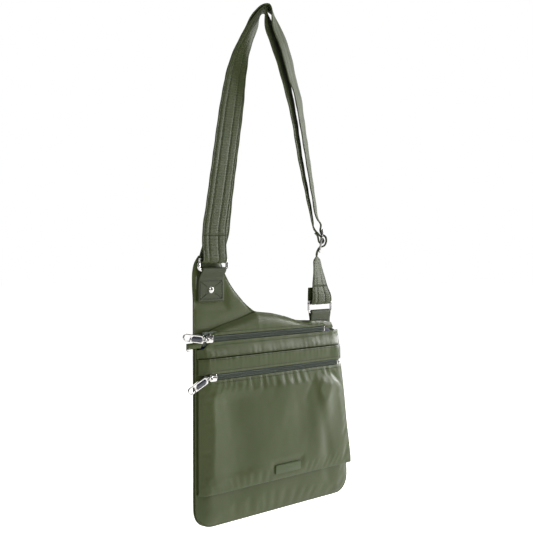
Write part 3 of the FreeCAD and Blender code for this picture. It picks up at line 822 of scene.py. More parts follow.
def folds(x, z):
    """The broad soft folds of the empty bag's front: a valley left of the middle and swells beside it."""
    lean = (z - hem_z) * 0.10
    valley = np.exp(-(((x + 52 + lean) / 30) ** 2))
    swell = np.exp(-(((x - 80 - lean) / 17) ** 2)) * (0.35 + 0.65 * np.exp(-(((z + 455) / 42) ** 2)))
    crease = np.exp(-(((x - 104 + (z - hem_z) * 0.28) / 9) ** 2)) * smooth_step((seam_z - z) / 60)
    fan = 0.0
    for start, slope in ((96, 0.05), (88, 0.32), (78, 0.62)):
        away = pocket_high[2] - z
        fades = smooth_step(away / 6) * smooth_step((46 - away) / 40)
        fan = fan + np.exp(-(((x - start + away * slope) / 3.2) ** 2)) * fades
    low = smooth_step((pocket_high[2] - z) / 26)
    ridge = np.exp(-(((x - 18 - lean) / 20) ** 2))
    return (3.8 * valley - 4.6 * swell - 0.6 * ridge) * low + 1.3 * crease + 0.8 * fan


def puckers(x, distance_from_seam, depth=0.35, reach=7.0, wave=8.0, seed=0.0):
    """Small gathers that fade away from a seam."""
    wobble = np.array([noise.noise(Vector((v / 23.0, seed, 0.4))) for v in x])
    return depth * np.exp(-distance_from_seam / reach) * np.sin(2 * math.pi * x / wave + 5.0 * wobble)


def rough_cloth(x, z, seed, fine=0.17, broad=0.8):
    flat = np.stack([x, z], 1)
    return broad * ripple(flat, 42.0, seed) + fine * ripple(flat, 11.0, seed + 9)


# how far forward the pocket's right edge stands at each height
RIGHT_STAND = ((-549, -12.8), (-520, -12.8), (-490, -12.0), (-455, -10.5), (-430, -8.0), (-415, -5.8),
               (-400, -5.2))
LEFT_STAND = -2.7
POCKET_FACE = -12.3      # the pocket's face away from its edges
SIDE_ROLL = 12.0
POCKET_LIMIT = -16.8     # how far forward the pocket's cloth may stand at its zip
LOWER_BULGE = 2.2        # and how much further below it
FRONT_LIMIT = -8.4
BACK_LIMIT = 9.5
POCKET_BACK_Y = -4.4


def right_stand(z):
    heights, depths = zip(*RIGHT_STAND)
    return np.interp(z, heights, depths)


def pocket_face(x, z):
    """The face shared by the pocket and the band above its zip: it rolls back at both sides."""
    to_left = 1 - pillow((x - left_x) / SIDE_ROLL)
    to_right = 1 - pillow((edge_x_of(z) - x) / SIDE_ROLL)
    return POCKET_FACE + (LEFT_STAND - POCKET_FACE) * to_left + (right_stand(z) - POCKET_FACE) * to_right


def pocket_depth(x, z, edge):
    hem = 1 - pillow((z - hem_z) / 8)
    top = 1 - pillow((pocket_high[2] - z) / 7)
    return pocket_face(x, z) + 0.8 * hem + 0.7 * top - 0.5 * smooth_step(edge / 40)


def pocket_after(x, z, y, edge):
    y = y + folds(x, z) * smooth_step(edge / 24) + rough_cloth(x, z, 3.0) * smooth_step(edge / 12)
    y = y + puckers(x, pocket_high[2] - z, 0.16, 6.0, 9.0, 2.0)
    limit = POCKET_LIMIT - LOWER_BULGE * smooth_step((pocket_high[2] - 22 - z) / 20)
    y = np.maximum(y, limit)
    # the cloth lies flat under the badge
    middle, half = (badge_low + badge_high) / 2, (badge_high - badge_low) / 2
    away = np.maximum(np.abs(x - middle[0]) - half[0], np.abs(z - middle[2]) - half[2])
    near = 1 - smooth_step(away / 9)
    return y * (1 - near) + (badge_high[1] - 0.15) * near


def build_pocket():
    panel = Panel("pocket_panel", 1.4, pocket_depth, slack=0.006, push=1.2, cap=2.2, after=pocket_after,
                  sew=lambda x, z: z > hem_z - 5, cell=3.0, lap=(pocket_high[2], LAP))
    hang_sheet(panel, "pocket_panel_cloth", nylon, "nylon", "pocket_panel")
    top = pocket_high[2] - 2.4
    stitch_line(panel, row(left_x + 5, edge_x(top) - 5, top))

    def band_depth(x, z, edge):
        down, up = band_high[2] - z, z - band_low[2]
        y = pocket_face(x, z) + 1.0 * (1 - pillow(down / 6)) + 0.6 * (1 - pillow(up / 5))
        y = y + puckers(x, down, 0.20, 5.0, 7.0, 1.0) + puckers(x, up, 0.14, 4.0, 9.0, 5.0)
        right = smooth_step((x - 60) / 40)
        return y + rough_cloth(x, z, 5.0, 0.15, 0.25) * (1 + 1.4 * right)

    band = Panel("pocket_facing", 1.3, band_depth, cell=2.2, lap=(band_low[2], -LAP))
    hang_sheet(band, "pocket_facing_cloth", nylon, "nylon", "pocket_facing")
    for z in (band_low[2] + 2.4, band_high[2] - 1.6):
        stitch_line(band, row(left_x + 4, edge_x(z) - 4, z))


def edge_x_of(z):
    """The bag's right edge at each height."""
    z = np.atleast_1d(np.asarray(z, float))
    line = right_edge
    return np.interp(z, line[:, 1], line[:, 0])


def edge_x(z):
    return float(edge_x_of(z)[0])


def row(x0, x1, z):
    """A level line of stitches across the bag."""
    return [(x0, z), (x1, z)]


def stitch_line(panel, line):
    stitching.add(*stitch_run(panel.on(evenly(line, 4.0)[0], 0.12)))


def hang_sheet(panel, name, material, slot, *nodes):
    cloth = panel.build(name, [material])
    settle(cloth, slot, *nodes)
    ring = panel.points[:panel.count, [0, 2]]
    width, length = (float(v) * MM for v in ring.max(0) - ring.min(0))
    area = min(max(loop_area(ring) * MM * MM, 0.31 * width * length), width * length)
    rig.sheet(cloth, flat=(round(width, 4), round(length, 4)), held="stretched", rests_on=(), area=area)


def build_front():
    def depth(x, z, edge):
        y = -4.2 - 2.4 * pillow(edge / 16) + 2.6 * (1 - smooth_step((x - left_x) / 12))
        return y + rough_cloth(x, z, 8.0, 0.12, 0.45) * smooth_step(edge / 14)

    def after(x, z, y, edge):
        y = y + 0.5 * folds(x, z) * smooth_step(edge / 25)
        return np.maximum(y, FRONT_LIMIT)

    panel = Panel("front_panel", 1.4, depth, cell=3.6, slack=0.003, push=0.6, cap=1.4, after=after)
    hang_sheet(panel, "front_panel_cloth", nylon, "nylon", "front_panel")


YOKE_CREST_Z = -383.5    # below this the yoke slopes forward to the pocket
YOKE_STITCH_Z = -384.6
YOKE_STITCH_X = (-86, 106)
FACING_STITCH_X = (-78, 112)


def build_yoke():
    zip_edge = yoke_high[2] - 1.3

    def depth(x, z, edge):
        side = np.minimum(x - left_x, edge_x_of(z) - x)
        drop = smooth_step((YOKE_CREST_Z - z) / 15)
        pinch = 1 - smooth_step((x - left_x) / 10)
        y = -3.9 - 1.5 * drop * (1 - pinch) - pillow(side / 14) * (1.7 + 2.4 * drop) + 2.2 * pinch
        uneven = 0.5 + 0.5 * ripple(np.stack([x, z], 1), 26.0, 44.0)
        y = y + uneven * puckers(x, z - yoke_low[2], 0.32, 5.0, 8.0, 4.0)
        right = smooth_step((x - 50) / 40)
        y = y + rough_cloth(x, z, 12.0, 0.2, 0.4) * (1 + 1.2 * right)
        left = np.exp(-(((x + 84) / 24) ** 2))
        ridge = np.sin((z + 380 + (x + 100) * 0.10) * 2 * math.pi / 9.5)
        return y + 0.30 * left * ridge * smooth_step(edge / 3)

    panel = Panel("front_yoke", 1.4, depth, cell=2.2, lap=(zip_edge, 0.9))
    hang_sheet(panel, "front_yoke_cloth", nylon, "nylon", "front_yoke")
    stitch_line(panel, row(*YOKE_STITCH_X, YOKE_STITCH_Z))


def build_facing():
    top_line = np.array([p for p in outline("top_facing") if p[1] > facing_low[2] + 0.8])
    order = np.argsort(top_line[:, 0])
    top_line = top_line[order]
    # the piece rises from the zip and rolls over the top seam to the back panel
    def depth(x, z, edge):
        flat = np.stack([x, z], 1)
        to_top = distance(flat, top_line)
        to_zip = np.maximum(z - facing_low[2], 0)
        share = to_zip / np.maximum(to_zip + to_top, 1e-6)
        top_y = 1.0 - 5.4 * smooth_step((x - right_tab_low[0] + 14) / 11)
        right = smooth_step((x - 40) / 40)
        y = -5.6 + (5.6 + top_y) * share ** 3.0 + puckers(x, to_zip, 0.15, 4.0, 9.0, 6.0)
        return y + rough_cloth(x, z, 15.0, 0.16, 0.35) * smooth_step(edge / 6) * (1 + right)

    panel = Panel("top_facing", 1.3, depth, cell=2.4, inset=0.0,
                  lap=(facing_low[2], lambda x: -0.2 - 3.0 * smooth_step((x - 101) / 10)))
    hang_sheet(panel, "top_facing_cloth", nylon, "nylon", "top_facing", "top_seam")
    stitch_line(panel, row(*FACING_STITCH_X, facing_low[2] + 2.6))


def wing_lift(z):
    """The wing's edge stands a little further back beside the left ring, which can tilt that way."""
    return 1.2 * smooth_step((z + 335) / 20)


TAB_BEND = -309.0        # where the left tab's two layers meet
UNDER_TAB_Y = 3.05       # the wing's face between the tab's layers
WING_SEAM = np.array([(-100.0, -372.0), (-40.0, -358.0), (-14.0, -351.0)])


def build_wing():
    def depth(x, z, edge):
        away = np.maximum.reduce([tab_low[0] - 1 - x, x - tab_high[0] - 1, tab_low[2] - 1 - z, z - TAB_BEND])
        free = smooth_step(away / 12)
        hollow = np.exp(-((distance(np.stack([x, z], 1), WING_SEAM) / 8) ** 2))
        y = 1.9 + wing_lift(z) - 0.8 * pillow(edge / 14) + 1.3 * hollow
        y = y + rough_cloth(x, z, 21.0, 0.12, 0.4) * smooth_step(edge / 10)
        return UNDER_TAB_Y * (1 - free) + y * free

    panel = Panel("wing_front", 0.8, depth, cell=2.6)
    hang_sheet(panel, "wing_front_cloth", nylon, "nylon", "wing_front")


def build_back():
    def depth(x, z, edge):
        y = 3.0 + wing_lift(z) + 3.6 * pillow(edge / 26)
        return y + rough_cloth(x, z, 31.0, 0.10, 0.5) * smooth_step(edge / 14)

    panel = Panel("back_panel", 1.0, depth, facing=1, cell=4.2, slack=0.004, push=0.8, cap=2.0, inset=0.7,
                  after=lambda x, z, y, edge: np.minimum(y, BACK_LIMIT))
    hang_sheet(panel, "back_panel_cloth", nylon, "nylon", "back_panel")
    inner = panel.points[:panel.count, [0, 2]] - outward(panel.points[:panel.count, [0, 2]]) * 3.2
    stitch_line(panel, np.vstack([inner, inner[:1]]))

    foam = Panel("back_foam", 0.8, lambda x, z, edge: 3.0 + 1.2 * smooth_step(edge / 12), cell=6.0)
    pad = foam.build("back_foam_pad", [foam_stuff])
    settle(pad, "foam", "back_foam")
    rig.padded(pad, fill=0.3)


def build_linings():
    for node, y0 in (("lining_back", 2.5), ("lining_front", -2.4)):
        sag = 1 if y0 > 0 else -1
        panel = Panel(node, 0.4, lambda x, z, edge: y0 - sag * (0.9 * smooth_step(edge / 20))
                      + rough_cloth(x, z, 40.0 + y0, 0.1, 0.4) * smooth_step(edge / 12), cell=7.0)
        hang_sheet(panel, node + "_cloth", lining_cloth, "lining", node)


def wall(line, y_front, y_back, sag, thickness, seed, inset=0.5):
    """A narrow side strip that follows an open line of (x, z) points and pulls in between its seams."""
    line = evenly(line, 3.0)[0]
    along = unit(np.gradient(line, axis=0))
    out = np.stack([along[:, 1], -along[:, 0]], 1)
    steps = 7
    outer, inner = [], []
    for i, (p, o) in enumerate(zip(line, out)):
        for k in range(steps):
            t = k / (steps - 1)
            pull = inset + sag * math.sin(math.pi * t)
            pull += 0.25 * math.sin(math.pi * t) * noise.noise(Vector((i / 3.0, t * 2, seed)))
            q = p - o * pull
            start = y_front(p)
            end = max(y_back, start + 0.4)
            y = start + (end - start) * t
            outer.append((q[0], y, q[1]))
            r = q - o * thickness
            inner.append((r[0], y, r[1]))
    rows = len(line)
    faces = grid_faces(rows, steps)
    count = rows * steps
    faces += [tuple(i + count for i in f[::-1]) for f in grid_faces(rows, steps)]
    for i in range(rows - 1):
        for a, b in ((0, 0), (steps - 1, steps - 1)):
            p0, p1 = i * steps + a, (i + 1) * steps + a
            quad = (p0, p1, p1 + count, p0 + count)
            faces.append(quad if a == 0 else quad[::-1])
    for i in (0, rows - 1):
        for k in range(steps - 1):
            p0, p1 = i * steps + k, i * steps + k + 1
            quad = (p0, p0 + count, p1 + count, p1)
            faces.append(quad if i == 0 else quad[::-1])
    return np.array(outer + inner), faces


def lower_stretch(ring, top, bottom=-1000.0):
    """The part of the bag's outline below a height, from the left side down and round to the right."""
    ring = np.asarray(ring)
    start = np.argmax(np.where(ring[:, 0] < left_x + 6, -np.abs(ring[:, 1] - top), -1e9))
    turned = np.roll(ring, -start, 0)
    low = turned[:, 1] <= top + 2
    stop = len(low) if low.all() else int(np.argmin(low))
    return np.array([p for p in turned[:stop] if p[1] > bottom])


def front_seam(p):
    """How far forward the bag's front seam stands: the empty bag is pinched at its left side."""
    return -3.6 + 2.6 * float(1 - smooth_step((p[0] - left_x) / 12))


def build_sides():
    ring = even_loop(outline("back_panel"), 3.0)
    verts, faces = wall(lower_stretch(ring, yoke_high[2] - 5), front_seam, 2.5, 0.9, 0.7, 2.0)
    gusset = make_object("body_gusset_cloth", verts, faces, [nylon])
    settle(gusset, "nylon", "body_gusset")

    pocket = even_loop(outline("pocket_panel"), 3.0)
    whole = lower_stretch(pocket, pocket_high[2])
    top_left = np.array([[left_x, z] for z in np.arange(band_high[2], pocket_high[2], -3.0)])
    top_right = np.array([[edge_x(z), z] for z in np.arange(pocket_high[2] + 2, band_high[2], 3.0)])

    def front_of(p):
        """Just behind the pocket's own edge."""
        return float(pocket_face(np.array([p[0]]), np.array([p[1]]))[0]) + 1.3

    verts, faces = wall(np.vstack([top_left, whole, top_right]), front_of, POCKET_BACK_Y, 0.7, 0.7, 7.0, 0.9)
    side = make_object("pocket_gusset_cloth", verts, faces, [nylon])
    settle(side, "nylon", "pocket_gusset")


def bead(line, y, radius, seed, closed):
    """A corded piping: a bead with the small unevenness of a turned strip."""
    line = evenly(line, 2.5)[0]
    if closed:
        line = line[:-1]
    depth = np.array([y(p) for p in line])
    path = np.stack([line[:, 0], depth, line[:, 1]], 1)
    uneven = np.array([1 + 0.10 * noise.noise(Vector((i * 0.45, seed, 0))) for i in range(len(line))])
    return tube(path, radius * uneven, 10, closed)


def build_pipings():
    ring = even_loop(outline("back_panel"), 2.5)
    ring = ring - outward(ring) * 0.3
    whole = np.vstack([ring, ring[:1]])
    below = lower_stretch(ring, yoke_high[2] - 6)
    back = bead(whole, lambda p: 2.4 + float(wing_lift(p[1])), 0.90, 1.0, True)
    front = bead(below, lambda p: front_seam(p) - 0.2, 0.75, 4.0, False)
    for shape, node in ((back, "back_piping"), (front, "front_piping")):
        settle(make_object(node + "_bead", *shape, [nylon]), "nylon", node)


# ---- zips ----------------------------------------------------------------------------------------
def build_tapes(name):
    for side, near in (("upper", 1), ("lower", -1)):
        low, high = box_mm(name + "_tape_" + side)
        rows, columns = 90, 9
        verts = []
        for i in range(rows):
            x = low[0] + (high[0] - low[0]) * i / (rows - 1)
            for k in range(columns):
                z = low[2] + (high[2] - low[2]) * k / (columns - 1)
                rib = 0.10 * math.sin(k * math.pi * 0.99)
                wave = 0.12 * noise.noise(Vector((x / 9.0, z / 6.0, near)))
                verts.append((x, low[1] + 0.12 + rib + wave, z))
        count, last = rows * columns, (rows - 1) * columns
        back = [(x, y + 0.6, z) for x, y, z in verts]
        front_faces = grid_faces(rows, columns)
        faces = front_faces + [tuple(i + count for i in f[::-1]) for f in front_faces]
        edge = list(range(0, count, columns)) + list(range(last + 1, count))
        edge += list(range(last - 1, 0, -columns)) + list(range(columns - 2, 0, -1))
        for a, b in zip(edge, edge[1:] + edge[:1]):
            faces.append((a, b, b + count, a + count))
        obj = make_object(name + "_tape_" + side + "_weave", verts + back, faces, [tape_cloth])
        settle(obj, "zip_tape", name + "_tape_" + side)


def tooth(x, z_in, z_out, y_front, y_back):
    """One turn of the coil: a rounded bar that leans, with a bulged head at its inner end."""
    path = [(x + 0.25, y_back - 0.2, z_out), (x + 0.18, y_front + 0.35, z_out),
            (x, y_front + 0.25, (z_in + z_out) / 2), (x, y_front + 0.45, z_in),
            (x - 0.15, y_back - 0.5, z_in), (x - 0.2, y_back - 0.2, z_out)]
    return tube(path, [0.30, 0.36, 0.36, 0.46, 0.36, 0.28], 6)


def build_coils(name):
    pitch = 1.55
    for side, sign in (("upper", 1), ("lower", -1)):
        low, high = box_mm(name + "_coil_" + side)
        inner, outer = (low[2], high[2])[::sign]
        bunch = Bunch()
        shift = 0.0 if sign > 0 else pitch / 2
        for x in np.arange(low[0] + 0.8 + shift, high[0] - 0.6, pitch):
            bunch.add(*tooth(x, inner - sign * 0.75, outer - sign * 0.2, low[1], high[1]))
        xs = np.linspace(low[0] + 0.2, high[0] - 0.2, 40)
        bunch.add(*tube([(x, high[1] - 0.75, outer - sign * 0.55) for x in xs], 0.42, 6))
        line = [(x, low[1] + 0.2, outer - sign * 0.5) for x in (low[0] + 1, high[0] - 1)]
        bunch.add(*stitch_run(np.array(line), pitch=pitch * 2, length=2.2, radius=0.2), 1)
        obj = bunch.make(name + "_coil_" + side + "_teeth", [coil_nylon, tape_cloth])
        settle(obj, "zip_coil", name + "_coil_" + side)


def build_zip_end():
    low, high = box_mm("zip_end_tab")
    ring = outline("zip_end_tab")
    loop = even_loop(ring, 1.2)
    flat, faces = fill(loop, 1.2)
    edge = distance(flat, loop, True)
    y = low[1] + 0.6 - 0.9 * pillow(edge / 3.0) + 0.25 * ripple(flat, 4.0, 3.0)
    front = np.stack([flat[:, 0], y, flat[:, 1]], 1)
    back = np.stack([flat[:, 0], np.minimum(high[1] + 0.5 * pillow(edge / 3.0) - 0.5, 9), flat[:, 1]], 1)
    count, n = len(front), len(loop)
    every = list(faces) + [tuple(i + count for i in f[::-1]) for f in faces]
    every += [(i, i + count, (i + 1) % n + count, (i + 1) % n) for i in range(n)]
    obj = make_object("zip_end_tab_cloth", np.vstack([front, back]), every, [nylon])
    settle(obj, "nylon", "zip_end_tab")


# ---- strap ---------------------------------------------------------------------------------------
STRAP_W = 36.0
STRAP_T = 2.0
TURN = math.radians(46)
LEFT_BAR = (-84.0, -2.6, -289.0)
RIGHT_BAR = (98.0, -1.0, -342.6)
LEFT_TURN_R = 3.6
RIGHT_TURN_R = 3.4
SLIDER_CENTRE = np.array((100.5, -1.0, -268.0))
SLIDER_TWIST, SLIDER_LEAN = 42.0, 8.0


def spot(across, y, z, twist):
    return ((across + math.sin(TURN) * y) / math.cos(TURN), y, z), twist


def crown(across, z, twist=48.0):
    return (across * math.cos(TURN), -across * math.sin(TURN), z), twist


def at_slider(y, z):
    """A station in the strap slider's own plane: depth y and height z."""
    lean, turn = math.radians(SLIDER_LEAN), math.radians(SLIDER_TWIST)
    depth = y * math.cos(lean) - z * math.sin(lean)
    height = y * math.sin(lean) + z * math.cos(lean)
    from_centre = np.array((-depth * math.sin(turn), depth * math.cos(turn), height))
    return tuple(SLIDER_CENTRE + from_centre), SLIDER_TWIST


def turn_round(bar, radius, degrees):
    """Stations round a ring's upper bar."""
    return [((bar[0], bar[1] + radius * math.cos(a), bar[2] + radius * math.sin(a)), 0.0)
            for a in np.radians(degrees)]


THROUGH_RUN = [
    spot(-52.6, 0.6, -262, 0), spot(-48.5, 1.2, -222, 0), spot(-43.7, 2.3, -180, 0),
    spot(-38.7, 3.8, -138, 0), spot(-34.9, 5.8, -105, 2), spot(-31.8, 8.0, -76, 8),
    spot(-26.0, 10.5, -50, 18), spot(-16.8, 12.2, -24, 28), crown(-12.6, -12, 34),
    crown(-8.6, -4, 42), crown(-5.0, 1.4), crown(0, 3.4), crown(4.4, 3.2), crown(9.0, -1.4, 42),
    crown(12.6, -11, 33), spot(15.6, -11.5, -22, 24), spot(23.0, -12.5, -40, 24),
    spot(27.8, -12.2, -55, 25), spot(33.7, -10.8, -78, 27), spot(39.6, -9.3, -94, 29),
    spot(44.8, -7.6, -122, 32), spot(52.6, -5.0, -168, 34), spot(60.0, -3.0, -212, 36),
    spot(65.2, -2.0, -240, 38),
]
RETURN_RUN = [
    spot(-55.1, -4.6, -262, 0), spot(-50.3, -2.4, -222, 0), spot(-44.9, -0.9, -180, 0),
    spot(-39.8, 0.8, -138, 0), spot(-35.4, 2.6, -105, 2), spot(-31.0, 4.6, -76, 8),
    spot(-25.2, 6.8, -50, 18), spot(-15.3, 8.5, -24, 28), crown(-10.3, -13.4, 34),
    crown(-7.1, -6.8, 42), crown(-3.6, -1.2), crown(0, 1.0), crown(2.6, -1.4, 42),
    crown(4.6, -9, 33), spot(7.2, -7.6, -22, 24), spot(13.1, -8.2, -40, 24),
    spot(18.6, -8.4, -55, 25), spot(25.3, -8.2, -78, 27), spot(35.7, -6.6, -122, 32),
    spot(43.4, -4.4, -168, 34), spot(53.0, -2.4, -214, 36), spot(58.4, -1.6, -240, 38),
]
LOWER_TWISTS = ((0.93, 31.0), (0.76, 25.5), (0.54, 19.0), (0.34, 11.0))   # share of the way up, twist


def whole_strap():
    """Every station of the strap, from its sewn end at the slider to its sewn end at the right ring."""
    hook = [at_slider(3 * math.cos(a), 3 * math.sin(a)) for a in np.radians(np.arange(345, 134, -30))]
    marks = {"sewn_end": 0}
    path = [at_slider(9.0, 8.7), at_slider(5.5, 5.7)] + hook + [at_slider(4.0, 7.4), at_slider(10.5, 13.0)]
    marks["loop_end"] = len(path) - 1
    path += RETURN_RUN[::-1]
    marks["ring_start"] = len(path) - 1
    path += turn_round(LEFT_BAR, LEFT_TURN_R, range(180, 361, 30))
    path += THROUGH_RUN
    marks["ring_end"] = len(path) - len(THROUGH_RUN)
    marks["bend_start"] = len(path)
    upper_bend = [(3.0, 19.5), (2.8, 13.0), (0.4, 8.2), (-4.6, 5.6)]
    lower_bend = [(y, -z) for y, z in upper_bend[::-1]]
    path += [at_slider(y, z) for y, z in upper_bend + [(-6.4, 0.0)] + lower_bend]
    marks["bend_end"] = len(path) - 1
    front = np.array(RIGHT_BAR) - (0, RIGHT_TURN_R, 0)
    top = np.array(at_slider(3.0, -19.8)[0])
    path += [(tuple(front + (top - front) * share), twist) for share, twist in LOWER_TWISTS]
    marks["fold_start"] = len(path) - 1
    path += [(tuple(front + (0, 0.1, 7)), 2.0)]
    path += turn_round(RIGHT_BAR, RIGHT_TURN_R, range(180, 361, 30))
    path += [((RIGHT_BAR[0], RIGHT_BAR[1] + 3.4, RIGHT_BAR[2] + 6), 0.0),
             ((RIGHT_BAR[0], RIGHT_BAR[1] + 3.4, RIGHT_BAR[2] + 17), 0.0)]
    marks["fold_end"] = len(path) - 1
    return path, marks


def curve_between(values, spacing, i, t):
    """Catmull-Rom through the stations, with uneven spacing."""
    count = len(values)
    p0, p1, p2, p3 = (values[min(max(k, 0), count - 1)] for k in (i - 1, i, i + 1, i + 2))
    d0, d1, d2 = (max(spacing[min(max(k, 0), count - 2)], 1e-6) for k in (i - 1, i, i + 1))
    m1 = (p2 - p1) if i == 0 else d1 * ((p1 - p0) / d0 - (p2 - p0) / (d0 + d1) + (p2 - p1) / d1)
    m2 = (p2 - p1) if i + 2 >= count else d1 * ((p2 - p1) / d1 - (p3 - p1) / (d1 + d2) + (p3 - p2) / d2)
    t2, t3 = t * t, t * t * t
    return ((2 * t3 - 3 * t2 + 1) * p1 + (t3 - 2 * t2 + t) * m1 + (-2 * t3 + 3 * t2) * p2 + (t3 - t2) * m2)


STRAP_LINES = (-15.6, -8.6, 5.4, 15.6)     # stitched lines across the width
GROOVE_DEPTH, GROOVE_WIDTH = 0.68, 1.05    # how the stitches draw the webbing in


def strap_half_thickness(u):
    """Half thickness across the width: soft pads between the stitched lines, rounded at the edges."""
    h = STRAP_T / 2 - 0.05
    for line in STRAP_LINES:
        h -= GROOVE_DEPTH * math.exp(-((u - line) / GROOVE_WIDTH) ** 2)
    edge = (STRAP_W / 2 - abs(u)) / 1.3
    return h * math.sqrt(max(0.0, 1 - max(0.0, 1 - edge) ** 2))


def strap_columns():
    us = [-18.0, -17.8, -17.3, -16.5]
    for a, b in zip(STRAP_LINES, STRAP_LINES[1:]):
        between = np.linspace(a + 3.4, b - 3.4, max(2, round((b - a - 6.8) / 3)))
        us += [a, a + 0.9, a + 2.0, *between, b - 2.0, b - 0.9]
    return us + [STRAP_LINES[-1], 16.5, 17.3, 17.8, 18.0]


def strap_piece(name, path, first, last, step):
    """The strap between two stations: webbing with its stitched lines on both faces."""
    places = np.array([p for p, twist in path], float)
    twists = np.array([twist for p, twist in path], float)[:, None]
    spacing = np.linalg.norm(np.diff(places, axis=0), axis=1) ** 0.5
    lengths = np.linalg.norm(np.diff(places, axis=0), axis=1)
    samples = []
    for i in range(first, last):
        parts = max(1, math.ceil(lengths[i] / step))
        samples += [(i, k / parts) for k in range(parts)]
    samples.append((last - 1, 1.0))
    centre = np.array([curve_between(places, spacing, i, t) for i, t in samples])
    twist = np.radians([float(curve_between(twists, spacing, i, t)[0]) for i, t in samples])
    after, before = (np.array([curve_between(places, spacing, i, t + nudge) for i, t in samples])
                     for nudge in (0.01, -0.01))
    ahead = unit(after - before)
    wide = np.stack([np.cos(twist), np.sin(twist), np.zeros(len(twist))], 1)
    normal = unit(np.cross(wide, ahead))
    along = np.concatenate([[0], np.cumsum(np.linalg.norm(np.diff(centre, axis=0), axis=1))])
    start = float(lengths[:first].sum())
    columns = strap_columns()
    front = [(u, strap_half_thickness(u)) for u in columns]
    around = front + [(u, -h) for u, h in front[-2:0:-1]]
    verts, uv = [], []
    for c, w, n, s in zip(centre, wide, normal, along + start):
        drift = 0.28 * noise.noise(Vector((s / 38.0, 1.7, 0.2)))
        for u, h in around:
            swell = 0.16 * noise.noise(Vector((u / 6.0, s / 13.0, 0.5 if h > 0 else 3.5)))
            thick = h + math.copysign(min(abs(h), 0.5) * swell * 1.4, h)
            ruffle = 0.22 * (abs(u) / 18) ** 3 * math.sin(s / 4.1 + 2.2 * math.copysign(1, u))
            verts.append(c + w * (u + drift * (abs(u) / 18)) + n * (thick + ruffle))
            uv.append((u, s))
    bunch = Bunch()
    bunch.add(verts, capped(len(centre), len(around)))
    for u in STRAP_LINES:
        lift = strap_half_thickness(u) + 0.12
        for side in (1, -1):
            line = centre + wide * u + normal * side * lift
            bunch.add(*stitch_run(line, normal, pitch=3.6, length=2.8, radius=0.32), 1)
    obj = bunch.make(name, [webbing, thread])
    full = np.zeros((len(obj.data.vertices), 2))
    full[:len(uv)] = uv
    layer = obj.data.uv_layers.new(name="cloth")
    index = np.zeros(len(obj.data.loops), np.int32)
    obj.data.loops.foreach_get("vertex_index", index)
    layer.data.foreach_set("uv", (full[index] * MM).astype(np.float32).ravel())
    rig.slot(obj, "webbing")
    return obj


def build_strap():
    path, mark = whole_strap()
    slide = dict(start=(0.070, -0.001, -0.205), end=(0.1005, -0.001, -0.249))
    at_left = dict(start=(-0.084, -0.0026, -0.264), end=(-0.084, -0.0026, -0.285))
    below = dict(start=(0.0975, -0.001, -0.3195), end=(0.0975, -0.001, -0.289))
    at_right = dict(start=(0.098, -0.001, -0.3220), end=(0.098, -0.001, -0.339))
    # name, first and last station, mesh step, the body it follows and where that begins, CAD nodes
    pieces = (
        ("strap_sewn_loop", "sewn_end", "loop_end", 2.0, "strap_slider", None, ["strap_slider_loop"]),
        ("strap_return", "loop_end", "ring_start", 3.2, "strap_slider", slide,
         ["strap_return_left", "strap_return_right"]),
        ("strap_at_left_ring", "ring_start", "ring_end", 2.4, "left_ring", at_left, ["strap_ring_loop"]),
        ("strap_through", "ring_end", "bend_start", 3.2, "strap_slider", slide,
         ["strap_through_left", "strap_through_right"]),
        ("strap_bend", "bend_start", "bend_end", 2.0, "strap_slider", None, ["strap_slider_bend"]),
        ("strap_lower", "bend_end", "fold_start", 3.2, "strap_slider", below, ["strap_lower_strand"]),
        ("strap_at_right_ring", "fold_start", "fold_end", 2.4, "right_ring", at_right, ["strap_fold_back"]),
    )
    for name, first, last, step, body, reach, nodes in pieces:
        obj = strap_piece(name, path, mark[first], mark[last], step)
        if reach:
            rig.blend(obj, "bag", body, **reach)
        else:
            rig.ride(obj, body)
        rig.replaces(obj, *nodes)


# ---- tabs ----------------------------------------------------------------------------------------
TAB_T = 1.55
LEFT_RING_LOW_BAR = (-84.0, -2.6, -301.0)
RIGHT_RING_LOW_BAR = (98.0, -1.0, -355.8)
TAB_COLUMNS = (-1, -0.985, -0.95, -0.9, -0.6, -0.3, 0, 0.3, 0.6, 0.9, 0.95, 0.985, 1)   # of half the width


def tab_mesh(width, bar, radius, front_y, back_y, low_z, thickness, flare=0.0):
    """A tab folded round a ring's lower bar: its two layers lie on each other below the fold."""
    mid = radius + thickness / 2
    angles = np.radians(np.arange(0, 181, 15))
    turn = [(bar[1] - mid * math.cos(a), bar[2] + mid * math.sin(a)) for a in angles]
    front_mid, back_mid = front_y + thickness / 2, back_y - thickness / 2
    foot, waist, neck = low_z + thickness * 0.2, (low_z + bar[2]) / 2 - 3, bar[2] - 8
    front = [(front_mid, foot), (front_mid, waist), (front_mid - 0.1, neck)]
    back = [(back_mid, neck), (back_mid, waist), (back_mid, foot)]
    line = evenly(np.array(front + turn + back), 1.3)[0]
    for _ in range(3):
        line[1:-1] = line[1:-1] * 0.5 + (line[:-2] + line[2:]) * 0.25
    along = unit(np.gradient(line, axis=0))
    side = np.stack([-along[:, 1], along[:, 0]], 1)
    verts = []
    for p, n in zip(line, side):
        wide = width + flare * float(smooth_step((bar[2] - 4 - p[1]) / 12))
        for sign, shares in ((1, TAB_COLUMNS), (-1, TAB_COLUMNS[-2:0:-1])):
            for share in shares:
                edge = min(1.0, (1 - abs(share)) / 0.06)
                h = sign * thickness / 2 * math.sqrt(1 - (1 - edge) ** 2)
                verts.append((bar[0] + share * wide / 2, p[0] + n[0] * h, p[1] + n[1] * h))
    return verts, capped(len(line), 2 * len(TAB_COLUMNS) - 2)


def line3(points, y):
    return np.array([(x, y, z) for x, z in points])


